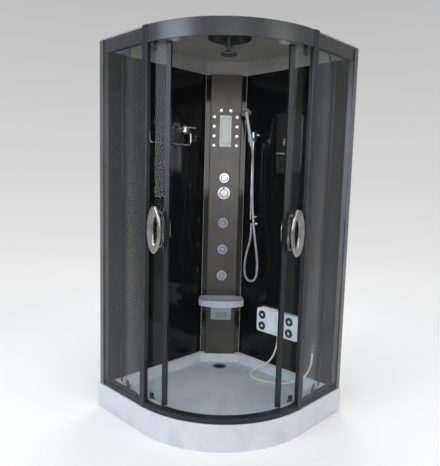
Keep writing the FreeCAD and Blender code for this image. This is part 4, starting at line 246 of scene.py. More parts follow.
class Nodes:
    """A node tree with short calls that add nodes, set their inputs and link them."""

    def __init__(self, tree: bpy.types.NodeTree) -> None:
        """Empty the tree and keep it."""
        self.tree = tree
        tree.nodes.clear()

    def add(self, kind: str, inputs: dict | None = None, **settings: object) -> bpy.types.Node:
        """Add a node.

        Args:
            kind: the node's type name.
            inputs: for each input's name or number, an output socket to link or a value to set.
            settings: the node's own properties.

        Returns:
            The new node.
        """
        node = self.tree.nodes.new(kind)
        for name, value in settings.items():
            setattr(node, name, value)
        for name, value in (inputs or {}).items():
            if isinstance(value, Socket):
                self.tree.links.new(value, node.inputs[name])
            else:
                node.inputs[name].default_value = value
        return node

    def socket(self, label: str, value: object, in_out: str) -> None:
        """Give the group a socket.

        Args:
            label: the socket's name.
            value: its default value, or its type's name where it has none.
            in_out: INPUT or OUTPUT.
        """
        bare = isinstance(value, str)
        kind = value if bare else SOCKET_KINDS[type(value)]
        made = self.tree.interface.new_socket(name=label, in_out=in_out, socket_type=kind)
        if not bare:
            made.default_value = value

    def group(self, tree: bpy.types.NodeTree, **inputs: object) -> Socket:
        """Place a node group, set its named inputs and return its one output."""
        return self.add("ShaderNodeGroup", inputs, node_tree=tree).outputs[0]

    def here(self, kind: str = "Object") -> Socket:
        """Return the coordinates of the place that is shaded."""
        return self.add("ShaderNodeTexCoord").outputs[kind]

    def part(self, vector: Socket, axis: str) -> Socket:
        """Return one part of a vector."""
        return self.add("ShaderNodeSeparateXYZ", {0: vector}).outputs[axis]

    def reckon(self, operation: str, first: Socket, second: Socket | float = 0.5, clamp: bool = False) -> Socket:
        """Return the result of a sum, a comparison or another operation on one or two values."""
        return self.add("ShaderNodeMath", {0: first, 1: second}, operation=operation, use_clamp=clamp).outputs[0]

    def remap(self, value: Socket, start: Socket | float, end: Socket | float, low: float = 0.0,
              high: float = 1.0, kind: str = "LINEAR") -> Socket:
        """Carry a value from the span of start to end over to the span of low to high.

        Args:
            value: the value.
            start: start of its own span.
            end: end of its own span.
            low: start of the new span.
            high: end of the new span.
            kind: the kind of interpolation.

        Returns:
            The new value.
        """
        inputs = {"Value": value, "From Min": start, "From Max": end, "To Min": low, "To Max": high}
        return self.add("ShaderNodeMapRange", inputs, interpolation_type=kind).outputs["Result"]

    def mix(self, share: Socket, first: Socket | Colour, second: Socket | Colour) -> Socket:
        """Mix two colours.

        Args:
            share: how much of the second one shows.
            first: a colour or a socket.
            second: a colour or a socket.

        Returns:
            The mixed colour.
        """
        shades = [shade if isinstance(shade, Socket) else linear(shade) for shade in (first, second)]
        node = self.add("ShaderNodeMix", {"Factor": share, "A": shades[0], "B": shades[1]}, data_type="RGBA")
        return node.outputs["Result"]

    def bump(self, height: Socket, strength: float, depth: float = 0.001, normal: Socket | None = None) -> Socket:
        """Raise a relief.

        Args:
            height: its height.
            strength: its strength, 0 to 1.
            depth: its depth at full height, metres.
            normal: another relief below it.

        Returns:
            The normal.
        """
        inputs = {"Strength": strength, "Distance": depth, "Height": height}
        if normal is not None:
            inputs["Normal"] = normal
        return self.add("ShaderNodeBump", inputs).outputs["Normal"]

    def surface(self, shader: bpy.types.Node) -> None:
        """Make a shader the material's surface."""
        self.add("ShaderNodeOutputMaterial", {"Surface": shader.outputs[0]})

    def close(self, **outputs: Socket) -> bpy.types.NodeTree:
        """Link the group's outputs and return its tree."""
        self.add("NodeGroupOutput", outputs)
        return self.tree


def open_material(name: str) -> tuple[bpy.types.Material, Nodes]:
    """Make a material with an empty tree.

    Args:
        name: its name.

    Returns:
        The material and its tree.
    """
    material = bpy.data.materials.new(name)
    material.use_nodes = True
    return material, Nodes(material.node_tree)


def open_group(name: str, kind: str, inputs: dict[str, object],
               outputs: dict[str, str]) -> tuple[Nodes, bpy.types.NodeOutputs]:
    """Open a node group.

    Args:
        name: the group's name.
        kind: its tree's type.
        inputs: the default of each input, or its type's name.
        outputs: the type's name of each output.

    Returns:
        The group's tree, and the sockets that its inputs arrive at.
    """
    nodes = Nodes(bpy.data.node_groups.new(name, kind))
    for in_out, sockets in (("OUTPUT", outputs), ("INPUT", inputs)):
        for label, value in sockets.items():
            nodes.socket(label, value, in_out)
    return nodes, nodes.add("NodeGroupInput").outputs


class Effects:
    """The shader node groups that several finishes use. Each puts out one mask or value."""

    def __init__(self) -> None:
        """Build the groups once."""
        self.grain = self._grain()
        self.smudge = self._smudge()
        self.dust = self._dust()

    @staticmethod
    def _grain() -> bpy.types.NodeTree:
        """Build the fine grain: noise on Object coordinates, stretched as brushing or moulding needs."""
        nodes, given = open_group("fine_grain", "ShaderNodeTree", {"Scale": 200.0, "Stretch": (1.0, 1.0, 1.0)},
                                  {"Value": "NodeSocketFloat"})
        stretched = nodes.add("ShaderNodeVectorMath", {0: nodes.here(), 1: given["Stretch"]}, operation="MULTIPLY")
        noise = nodes.add("ShaderNodeTexNoise", {"Vector": stretched.outputs[0], "Scale": given["Scale"],
                                                 "Detail": 3.0, "Roughness": 0.6})
        return nodes.close(Value=noise.outputs[0])

    @staticmethod
    def _smudge() -> bpy.types.NodeTree:
        """Build the broad smudges of handling and dried water, from 0 to 1."""
        nodes, given = open_group("smudge", "ShaderNodeTree", {"Scale": 6.0, "Start": 0.4, "End": 0.75},
                                  {"Mask": "NodeSocketFloat"})
        noise = nodes.add("ShaderNodeTexNoise", {"Vector": nodes.here(), "Scale": given["Scale"],
                                                 "Detail": 5.0, "Roughness": 0.62, "Distortion": 0.6})
        return nodes.close(Mask=nodes.remap(noise.outputs[0], given["Start"], given["End"], kind="SMOOTHSTEP"))

    @staticmethod
    def _dust() -> bpy.types.NodeTree:
        """Build the dust that settles on faces that look up, from 0 to 1."""
        nodes, given = open_group("settled_dust", "ShaderNodeTree", {"Amount": 0.3}, {"Mask": "NodeSocketFloat"})
        face = nodes.add("ShaderNodeNewGeometry")
        upward = nodes.remap(nodes.part(face.outputs["Normal"], "Z"), 0.55, 1.0)
        noise = nodes.add("ShaderNodeTexNoise", {"Vector": nodes.here(), "Scale": 24.0, "Detail": 4.0})
        patchy = nodes.reckon("MULTIPLY", upward, noise.outputs[0])
        return nodes.close(Mask=nodes.reckon("MULTIPLY", patchy, given["Amount"], clamp=True))


class Grain(Enum):
    """The way that a finish's fine grain runs."""

    MOULDED = (1.0, 1.0, 1.0)
    UPRIGHT = (1.0, 1.0, 0.02)
    LEVEL = (0.02, 0.02, 1.0)


@dataclass(frozen=True)
class Finish:
    """One opaque finish: a shader with its grain, smudges, dust and relief."""

    name: str
    colour: Colour
    worn: Colour
    roughness: float
    metallic: float = 0.0
    coat: float = 0.0
    coat_roughness: float = 0.06
    grain: Grain = Grain.MOULDED
    grain_scale: float = 320.0
    grain_relief: float = 0.05
    grain_span: tuple[float, float] = (0.3, 0.7)
    rough_spread: float = 0.08
    rough_least: float = 0.02
    smudge_scale: float = 5.0
    smudge_span: tuple[float, float] = (0.38, 0.8)
    dust: float = 0.12
    dust_colour: Colour = (176, 174, 170)
    specular: float = 0.5

    def relief(self, nodes: Nodes, grain: Socket) -> Socket:
        """Return the normal that the grain gives this finish."""
        return nodes.bump(grain, self.grain_relief)

    def tint(self, nodes: Nodes, effects: Effects) -> Socket:
        """Colour the finish: fresh, worn where it is smudged, and with dust on top.

        Args:
            nodes: the material's tree.
            effects: the shared node groups.

        Returns:
            The base colour.
        """
        start, end = self.smudge_span
        smudge = nodes.group(effects.smudge, Scale=self.smudge_scale, Start=start, End=end)
        dust = nodes.group(effects.dust, Amount=self.dust)
        return nodes.mix(dust, nodes.mix(smudge, self.colour, self.worn), self.dust_colour)

    def build(self, effects: Effects) -> bpy.types.Material:
        """Make the material.

        Args:
            effects: the shared node groups.

        Returns:
            The finished material.
        """
        material, nodes = open_material(self.name)
        grain = nodes.group(effects.grain, Scale=self.grain_scale, Stretch=self.grain.value)
        spread = nodes.remap(grain, *self.grain_span, max(self.rough_least, self.roughness - self.rough_spread),
                             min(1.0, self.roughness + self.rough_spread))
        nodes.surface(nodes.add("ShaderNodeBsdfPrincipled", {
            "Base Color": self.tint(nodes, effects), "Roughness": spread, "Metallic": self.metallic,
            "Coat Weight": self.coat, "Coat Roughness": self.coat_roughness,
            "Specular IOR Level": self.specular, "Normal": self.relief(nodes, grain),
        }))
        return material


@dataclass(frozen=True)
class TrayFinish(Finish):
    """The moulded acrylic of the tray, with an anti-slip pebble relief on the shower floor."""

    floor_low: float = 0.0935
    floor_high: float = 0.0965
    pebble_scale: float = 95.0
    pebble_relief: float = 0.5
    pebble_depth: float = 0.0015

    def relief(self, nodes: Nodes, grain: Socket) -> Socket:
        """Lay pebbles on the level floor, and fine grain elsewhere.

        Args:
            nodes: the material's tree.
            grain: the fine grain.

        Returns:
            The normal.
        """
        place = nodes.here()
        height = nodes.part(place, "Z")
        level = nodes.reckon("MULTIPLY", nodes.reckon("GREATER_THAN", height, self.floor_low),
                             nodes.reckon("LESS_THAN", height, self.floor_high))
        pebble = nodes.add("ShaderNodeTexVoronoi", {"Vector": place, "Scale": self.pebble_scale},
                           feature="SMOOTH_F1")
        return nodes.bump(nodes.reckon("MULTIPLY", pebble.outputs["Distance"], level), self.pebble_relief,
                          self.pebble_depth, nodes.bump(grain, self.grain_relief))


@dataclass(frozen=True)
class HoseFinish(Finish):
    """A hose finish with ribs that follow the hose."""

    ribs: float = 420.0
    rib_relief: float = 0.8

    def relief(self, nodes: Nodes, grain: Socket) -> Socket:
        """Return the normal of ribs round the hose, counted along its own UV map."""
        turns = nodes.reckon("MULTIPLY", nodes.part(nodes.here("UV"), "X"), self.ribs * math.tau)
        return nodes.bump(nodes.reckon("SINE", turns), self.rib_relief)


@dataclass(frozen=True)
class GlassFinish:
    """Clear or tinted safety glass. Lamps reach through it, and dried water dulls its colour a little."""

    name: str
    colour: Colour
    water: Colour
    water_scale: float = 7.0
    water_span: tuple[float, float] = (0.45, 0.9)
    roughness: float = 0.01
    ior: float = 1.2
    specular: float = 0.5

    def build(self, effects: Effects) -> bpy.types.Material:
        """Make the material.

        Args:
            effects: the shared node groups.

        Returns:
            The finished material.
        """
        material, nodes = open_material(self.name)
        start, end = self.water_span
        marks = nodes.group(effects.smudge, Scale=self.water_scale, Start=start, End=end)
        glass = nodes.add("ShaderNodeBsdfPrincipled", {
            "Base Color": nodes.mix(marks, self.colour, self.water), "Roughness": self.roughness,
            "Transmission Weight": 1.0, "IOR": self.ior, "Specular IOR Level": self.specular,
        })
        clear = nodes.add("ShaderNodeBsdfTransparent", {"Color": linear(self.colour)})
        path = nodes.add("ShaderNodeLightPath")
        nodes.surface(nodes.add("ShaderNodeMixShader", {0: path.outputs["Is Shadow Ray"], 1: glass.outputs[0],
                                                        2: clear.outputs[0]}))
        return material


FINISHES: tuple[Finish | GlassFinish, ...] = (
    TrayFinish("tray_acrylic", (204, 209, 218), (188, 193, 203), 0.16, coat=0.5, grain_relief=0.03, dust=0.06,
               rough_spread=0.05),
    Finish("galvanised_bars", (138, 141, 145), (112, 114, 117), 0.42, metallic=0.8, grain_scale=90.0, dust=0.3),
    Finish("grey_pipework", (150, 154, 158), (132, 136, 140), 0.45, dust=0.25),
    Finish("dark_rail", (48, 51, 59), (38, 40, 47), 0.34, metallic=0.6, grain=Grain.LEVEL, dust=0.1),
    Finish("fascia_metal", (84, 86, 91), (72, 74, 79), 0.3, metallic=0.85, grain=Grain.LEVEL,
           grain_scale=500.0, grain_relief=0.015, rough_spread=0.03, dust=0.05),
    Finish("post_aluminium", (64, 66, 72), (52, 54, 60), 0.3, metallic=0.85, grain=Grain.UPRIGHT,
           grain_scale=500.0),
    Finish("profile_aluminium", (122, 124, 127), (104, 106, 110), 0.34, metallic=0.85, grain=Grain.UPRIGHT,
           grain_scale=500.0),
    Finish("stile_dark", (44, 46, 53), (35, 37, 43), 0.3, metallic=0.6, grain=Grain.UPRIGHT,
           grain_scale=500.0),
    GlassFinish("door_glass", (243, 247, 248), (234, 239, 241)),
    GlassFinish("shelf_plate", (206, 228, 222), (194, 216, 211), ior=1.45),
    Finish("wall_black", (20, 20, 21), (25, 25, 26), 0.09, rough_spread=0.03, grain_relief=0.01,
           smudge_scale=3.0, dust=0.0, specular=0.3),
    Finish("column_brushed", (79, 77, 75), (66, 64, 64), 0.36, metallic=0.8, grain=Grain.UPRIGHT,
           grain_scale=620.0, grain_relief=0.08),
    Finish("bezel_plastic", (201, 203, 205), (186, 188, 190), 0.32, coat=0.2),
    Finish("screen_glass", (112, 121, 127), (99, 108, 114), 0.08, coat=0.8, grain_relief=0.01),
    Finish("seat_silver", (186, 190, 203), (166, 170, 183), 0.3, metallic=0.1, coat=0.3),
    Finish("steam_silver", (128, 137, 147), (110, 118, 128), 0.32, metallic=0.35, coat=0.2),
    Finish("chrome_plate", (196, 198, 201), (172, 175, 180), 0.09, metallic=1.0, grain_relief=0.01,
           rough_spread=0.05, smudge_scale=14.0, dust=0.04),
    Finish("chrome_shade", (150, 153, 158), (126, 129, 135), 0.16, metallic=1.0, grain_relief=0.02,
           rough_spread=0.06, smudge_scale=14.0, dust=0.05),
    Finish("handle_chrome", (152, 151, 149), (122, 121, 120), 0.1, metallic=1.0, grain_relief=0.01,
           rough_spread=0.05, smudge_scale=16.0, dust=0.0),
    Finish("handset_plate", (186, 190, 197), (162, 166, 174), 0.2, metallic=0.45, coat=0.5, grain_relief=0.01,
           dust=0.04),
    Finish("jet_lens", (166, 175, 188), (146, 155, 168), 0.16, metallic=0.2, coat=0.5, grain_relief=0.01,
           dust=0.03),
    Finish("brass_body", (176, 142, 84), (142, 112, 62), 0.34, metallic=0.9, grain_scale=150.0),
    HoseFinish("hose_silver", (214, 216, 219), (192, 195, 199), 0.3, metallic=0.3, ribs=430.0),
    HoseFinish("hose_cream", (222, 218, 206), (206, 201, 188), 0.42, ribs=300.0, rib_relief=0.35),
    Finish("mirror_silver", (212, 216, 218), (204, 208, 211), 0.03, metallic=1.0, grain_relief=0.0,
           rough_spread=0.015, dust=0.0),
    Finish("massager_white", (226, 230, 236), (208, 213, 222), 0.3, coat=0.3, dust=0.08),
    Finish("rubber_black", (24, 24, 25), (34, 34, 35), 0.6, dust=0.15),
    Finish("seal_clear", (168, 178, 182), (150, 160, 165), 0.35, dust=0.05),
    Finish("silicone_white", (214, 217, 220), (196, 199, 203), 0.38, dust=0.1),
    Finish("roof_taupe", (150, 147, 141), (134, 131, 125), 0.42, dust=0.2),
    Finish("gloss_black", (13, 13, 14), (20, 20, 21), 0.26, coat=0.2, dust=0.04, specular=0.35),
    Finish("lamp_lens", (214, 211, 204), (198, 195, 188), 0.4),
    Finish("generator_paint", (188, 190, 192), (166, 168, 170), 0.4, dust=0.2),
    Finish("hanger_grey", (70, 72, 77), (56, 58, 62), 0.38, metallic=0.4),
    Finish("wheel_white", (206, 206, 202), (182, 182, 178), 0.4, dust=0.12),
)


NODE_FINISHES: dict[str, tuple[str, ...]] = {
    "tray_acrylic": ("tray",),
    "galvanised_bars": ("tray_frame",),
    "grey_pipework": ("waste_trap",),
    "dark_rail": ("bottom_rail", "top_rail"),
    "fascia_metal": ("fascia",),
    "post_aluminium": ("posts",),
    "profile_aluminium": ("wall_profiles",),
    "stile_dark": both("door_edges"),
    "door_glass": ("fixed_panes", *both("door_glass")),
    "shelf_plate": ("shelf_glass",),
    "wall_black": ("wall_panels",),
    "column_brushed": ("column",),
    "bezel_plastic": ("display",),
    "seat_silver": ("seat",),
    "steam_silver": ("steam_box",),
    "chrome_plate": ("riser_rail", "towel_rail"),
    "handle_chrome": both("door_handle"),
    "handset_plate": ("handset",),
    "jet_lens": row("jet_nozzle", JETS),
    "chrome_shade": ("chrome_trims", "diverter_knob", "mixer_lever", "drain_cover", "handset_slider",
                     "top_shower", *row("button", BUTTONS)),
    "brass_body": ("valve_body",),
    "mirror_silver": ("mirror",),
    "massager_white": ("massager_panel",),
    "rubber_black": ("massager_rings",),
    "roof_taupe": ("roof",),
    "gloss_black": ("fan_grille", "fan_rotor"),
    "lamp_lens": ("roof_lamps",),
    "generator_paint": ("steam_generator",),
    "hanger_grey": both("door_hangers"),
    "wheel_white": both("lead_wheel", "trail_wheel"),
}


@dataclass
class Workshop:
    """The frame, the finishes and the shared geometry trees that every sub-assembly builds with."""

    frame: dict
    effects: Effects = field(default_factory=Effects)
    materials: dict[str, bpy.types.Material] = field(default_factory=dict)
    made: int = 0

    def __post_init__(self) -> None:
        """Build every finish and both geometry trees."""
        for finish in FINISHES:
            self.materials[finish.name] = finish.build(self.effects)
        self.bead_tree = self._bead_tree()
        self.stud_tree = self._stud_tree()

    @staticmethod
    def _open_tree(name: str, sizes: dict[str, float]) -> tuple[Nodes, bpy.types.NodeOutputs]:
        """Open a geometry tree with a mesh input, named sizes and a material input."""
        inputs = {"Geometry": "NodeSocketGeometry", **sizes, "Material": "NodeSocketMaterial"}
        return open_group(name, "GeometryNodeTree", inputs, {"Geometry": "NodeSocketGeometry"})

    @staticmethod
    def _close_tree(nodes: Nodes, given: bpy.types.NodeOutputs, shape: Socket) -> bpy.types.NodeTree:
        """End a tree in Realize Instances, smooth shading and Set Material.

        Args:
            nodes: the tree's nodes.
            given: the tree's inputs.
            shape: the shape to finish.

        Returns:
            The finished tree.
        """
        real = nodes.add("GeometryNodeRealizeInstances", {"Geometry": shape})
        smooth = nodes.add("GeometryNodeSetShadeSmooth", {"Geometry": real.outputs[0]})
        painted = nodes.add("GeometryNodeSetMaterial", {"Geometry": smooth.outputs[0],
                                                        "Material": given["Material"]})
        return nodes.close(Geometry=painted.outputs[0])

    def _bead_tree(self) -> bpy.types.NodeTree:
        """Build the tree that sweeps a round bead along the edges of a mesh."""
        nodes, given = self._open_tree("bead_along_path", {"Radius": 0.002, "Sides": 8})
        path = nodes.add("GeometryNodeMeshToCurve", {"Mesh": given["Geometry"]})
        section = nodes.add("GeometryNodeCurvePrimitiveCircle", {"Resolution": given["Sides"],
                                                                 "Radius": given["Radius"]})
        bead = nodes.add("GeometryNodeCurveToMesh", {"Curve": path.outputs[0], "Profile Curve": section.outputs[0],
                                                     "Fill Caps": True})
        return self._close_tree(nodes, given, bead.outputs[0])

    def _stud_tree(self) -> bpy.types.NodeTree:
        """Build the tree that stands a stud on each point, each turned at random about its own axis."""
        nodes, given = self._open_tree("studs_on_points", {"Foot radius": 0.003, "Top radius": 0.002,
                                                           "Height": 0.002, "Sides": 10, "Seed": 7})
        stud = nodes.add("GeometryNodeMeshCone", {
            "Vertices": given["Sides"], "Radius Bottom": given["Foot radius"],
            "Radius Top": given["Top radius"], "Depth": given["Height"],
        })
        angle = nodes.add("FunctionNodeRandomValue", {"Min": 0.0, "Max": math.tau, "Seed": given["Seed"]},
                          data_type="FLOAT")
        turn = nodes.add("ShaderNodeCombineXYZ", {"Z": next(value for value in angle.outputs if value.enabled)})
        placed = nodes.add("GeometryNodeInstanceOnPoints", {
            "Points": given["Geometry"], "Instance": stud.outputs["Mesh"], "Rotation": turn.outputs[0],
        })
        return self._close_tree(nodes, given, placed.outputs[0])

    def paint(self, node: str, finish: str) -> None:
        """Give every material slot of a solid's own mesh a finish.

        Args:
            node: the solid's node.
            finish: the finish's name.
        """
        mesh = self.frame["nodes"][node].data
        if not mesh.materials:
            mesh.materials.append(self.materials[finish])
        for slot in range(len(mesh.materials)):
            mesh.materials[slot] = self.materials[finish]

    def place(self, piece: bpy.types.Object, body: str, slot: str) -> None:
        """Ride a finished piece on its body and report it in the log.

        Args:
            piece: the finished object.
            body: the body that it moves with.
            slot: the record's material slot; not used.
        """
        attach(piece, body)
        self.made += 1
        LOG.info("made %s on %s", piece.name, body)

    def mesh(self, name: str, corners: Sequence[Vector], faces: Sequence[Face], finish: str,
             smooth: bool = False) -> bpy.types.Object:
        """Make an object from corners and faces.

        Args:
            name: the piece's name.
            corners: its vertices in the frame, metres.
            faces: the vertex numbers of each face.
            finish: the finish's name.
            smooth: shade it smooth.

        Returns:
            The new object, which rides on nothing yet.
        """
        data = mesh_of(name, corners, faces=faces, smooth=smooth)
        data.materials.append(self.materials[finish])
        return show(name, data)

    @staticmethod
    def _grow(name: str, tree: bpy.types.NodeTree, seed: bpy.types.Mesh, values: dict[str, object],
              turn: Matrix) -> bpy.types.Object:
        """Run a geometry tree on points or edges and keep the result as a plain mesh.

        Args:
            name: the piece's name.
            tree: the geometry tree.
            seed: the points or edges, which are removed.
            values: the tree's inputs by name.
            turn: placement of the result in the frame.

        Returns:
            The new object at the origin, with its place in its mesh.
        """
        holder = show(seed.name, seed)
        modifier = holder.modifiers.new("shape", "NODES")
        modifier.node_group = tree
        for item in tree.interface.items_tree:
            if item.in_out == "INPUT" and item.name in values:
                modifier[item.identifier] = values[item.name]
        data = frozen(holder)
        holder.modifiers.remove(modifier)
        bpy.data.objects.remove(holder)
        bpy.data.meshes.remove(seed)
        data.transform(turn)
        data.name = name
        return show(name, data)

    def bead(self, name: str, paths: Sequence[Sequence[Vector]], radius: float, finish: str,
             closed: bool = False, sides: int = 8) -> bpy.types.Object:
        """Sweep a bead along one or more paths.

        Args:
            name: the piece's name.
            paths: each path's points, metres.
            radius: the bead's radius.
            finish: the finish's name.
            closed: join each path's end to its start.
            sides: sides of the bead's section.

        Returns:
            The new object.
        """
        corners: list[Vector] = []
        edges: list[tuple[int, int]] = []
        for path in paths:
            first = len(corners)
            corners.extend(path)
            edges.extend((first + step, first + step + 1) for step in range(len(path) - 1))
            if closed:
                edges.append((first + len(path) - 1, first))
        values = {"Radius": radius, "Sides": sides, "Material": self.materials[finish]}
        return self._grow(name, self.bead_tree, mesh_of(f"{name}_path", corners, edges), values,
                          Matrix.Identity(4))

    def studs(self, name: str, places: Sequence[Vector], sizes: Point, finish: str, turn: Matrix,
              sides: int = 8, seed: int = 7) -> bpy.types.Object:
        """Stand studs on points of a flat pattern, and then turn the pattern into place.

        Args:
            name: the piece's name.
            places: the feet of the studs, in the pattern's own frame.
            sizes: foot radius, top radius and height.
            finish: the finish's name.
            turn: placement of the pattern in the frame.
            sides: sides of a stud.
            seed: seed of the random turn.

        Returns:
            The new object.
        """
        foot, top, height = sizes
        values = {"Foot radius": foot, "Top radius": top, "Height": height, "Sides": sides, "Seed": seed,
                  "Material": self.materials[finish]}
        return self._grow(name, self.stud_tree, mesh_of(f"{name}_points", places), values, turn)


@dataclass(frozen=True)
class Lamp:
    """One soft square lamp: its place, the point that it faces, its side in metres and its watts."""

    name: str
    place: Point
    target: Point
    size: float
    power: float
    colour: Colour = (255, 255, 255)

    def hang(self) -> None:
        """Hang the lamp."""
        data = bpy.data.lights.new(self.name, "AREA")
        data.size = self.size
        data.energy = self.power
        data.color = linear(self.colour)[:3]
        light = show(self.name, data)
        light.location = self.place
        facing = Vector(self.target) - Vector(self.place)
        light.rotation_euler = facing.to_track_quat("-Z", "Y").to_euler()


LAMPS: tuple[Lamp, ...] = (
    Lamp("overhead", (0, -0.6, 4.6), (0, 0, 1), 3.4, 120),
    Lamp("left_window", (-3.6, -2.6, 2.2), (0, 0, 0.9), 2.4, 70, (236, 243, 255)),
    Lamp("right_fill", (3.4, -3.0, 2.0), (0, 0, 0.9), 2.2, 28, (255, 252, 246)),
    Lamp("front_window", (0.25, -4.3, 1.85), (0, 0, 1.3), 1.5, 34, (255, 251, 245)),
    Lamp("behind", (0.6, 3.4, 3.2), (0, 0, 1.2), 2.4, 50),
)


@dataclass
class Studio:
    """The camera at the photograph's place, the pale floor and backdrop, and the soft lamps."""

    camera_place: Point = (-0.05949, -2.79643, 1.34649)
    camera_turn: Point = (83.34897, -1.52422, -0.56687)
    lens: float = 36.9487
    sensor: float = 36.0
    clip: tuple[float, float] = (0.05, 60.0)
    floor_radius: float = 5.2
    bowl_radius: float = 2.0
    bowl_top: float = 6.0
    bowl_steps: int = 12
    bowl_sides: int = 96
    floor_colour: Colour = (240, 240, 240)
    floor_roughness: float = 0.8
    floor_specular: float = 0.1
    top_colour: Colour = (190, 190, 190)
    far_colour: Colour = (224, 224, 224)
    low_colour: Colour = (246, 246, 246)
    tone_rise: tuple[float, float] = (0.0, 4.6)
    tone_reach: tuple[float, float] = (2.0, 7.2)
    own_tone_reach: tuple[float, float] = (1.6, 4.0)
    world_colour: tuple[float, float, float, float] = (0.92, 0.95, 1.0, 1.0)
    world_strength: float = 0.42

    def camera(self) -> None:
        """Set the camera."""
        data = bpy.data.cameras.new("camera")
        data.lens = self.lens
        data.sensor_width = self.sensor
        data.sensor_fit = "AUTO"
        data.clip_start, data.clip_end = self.clip
        camera = show("camera", data)
        camera.location = self.camera_place
        camera.rotation_euler = [math.radians(angle) for angle in self.camera_turn]
        bpy.context.scene.camera = camera

    def backdrop(self) -> None:
        """Make a wide round bowl: flat floor, curved foot and upright wall, with a soft change of tone."""
        profile = [(self.floor_radius, 0.0)]
        for step in range(1, self.bowl_steps + 1):
            angle = math.pi / 2 * step / self.bowl_steps
            profile.append((self.floor_radius + self.bowl_radius * math.sin(angle),
                            self.bowl_radius * (1 - math.cos(angle))))
        profile.append((self.floor_radius + self.bowl_radius, self.bowl_top))
        sides = self.bowl_sides
        corners = [ORIGIN]
        for radius, height in profile:
            corners.extend(ring(UP * height, radius, UP, sides))
        faces: list[Face] = [(0, 1 + side, 1 + (side + 1) % sides) for side in range(sides)]
        faces.extend(bands(1, sides, len(profile)))
        data = mesh_of("studio_bowl", corners, faces=faces, smooth=True)
        data.materials.append(self.backdrop_material())
        bowl = show("studio_bowl", data)

    def backdrop_material(self) -> bpy.types.Material:
        """Make the studio's paper: it takes the lamps' light near the cabin, and shows its own tone farther off."""
        material, nodes = open_material("studio_paper")
        place = nodes.here()
        rise = nodes.remap(nodes.part(place, "Z"), *self.tone_rise)
        flat = nodes.add("ShaderNodeVectorMath", {0: place}, operation="LENGTH").outputs["Value"]
        ground = nodes.mix(nodes.remap(flat, *self.tone_reach), self.low_colour, self.far_colour)
        shown = nodes.add("ShaderNodeEmission", {"Color": nodes.mix(rise, ground, self.top_colour),
                                                 "Strength": 1.0})
        paper = nodes.add("ShaderNodeBsdfPrincipled", {
            "Base Color": linear(self.floor_colour), "Roughness": self.floor_roughness,
            "Specular IOR Level": self.floor_specular,
        })
        path = nodes.add("ShaderNodeLightPath").outputs
        seen = nodes.reckon("MAXIMUM", path["Is Camera Ray"], path["Is Glossy Ray"])
        seen = nodes.reckon("MAXIMUM", seen, path["Is Transmission Ray"])
        share = nodes.reckon("MULTIPLY", seen, nodes.remap(flat, *self.own_tone_reach, kind="SMOOTHSTEP"))
        nodes.surface(nodes.add("ShaderNodeMixShader", {0: share, 1: paper.outputs[0], 2: shown.outputs[0]}))
        return material

    def lights(self) -> None:
        """Hang the lamps and set the world's soft fill."""
        for lamp in LAMPS:
            lamp.hang()
        world = bpy.data.worlds.new("studio_world")
        bpy.context.scene.world = world
        world.use_nodes = True
        nodes = Nodes(world.node_tree)
        fill = nodes.add("ShaderNodeBackground", {"Color": self.world_colour, "Strength": self.world_strength})
        nodes.add("ShaderNodeOutputWorld", {"Surface": fill.outputs[0]})

    def build(self) -> None:
        """Set up the camera, the backdrop and the lights, and plain view settings."""
        bpy.context.scene.view_settings.view_transform = "Standard"
        self.camera()
        self.backdrop()
        self.lights()


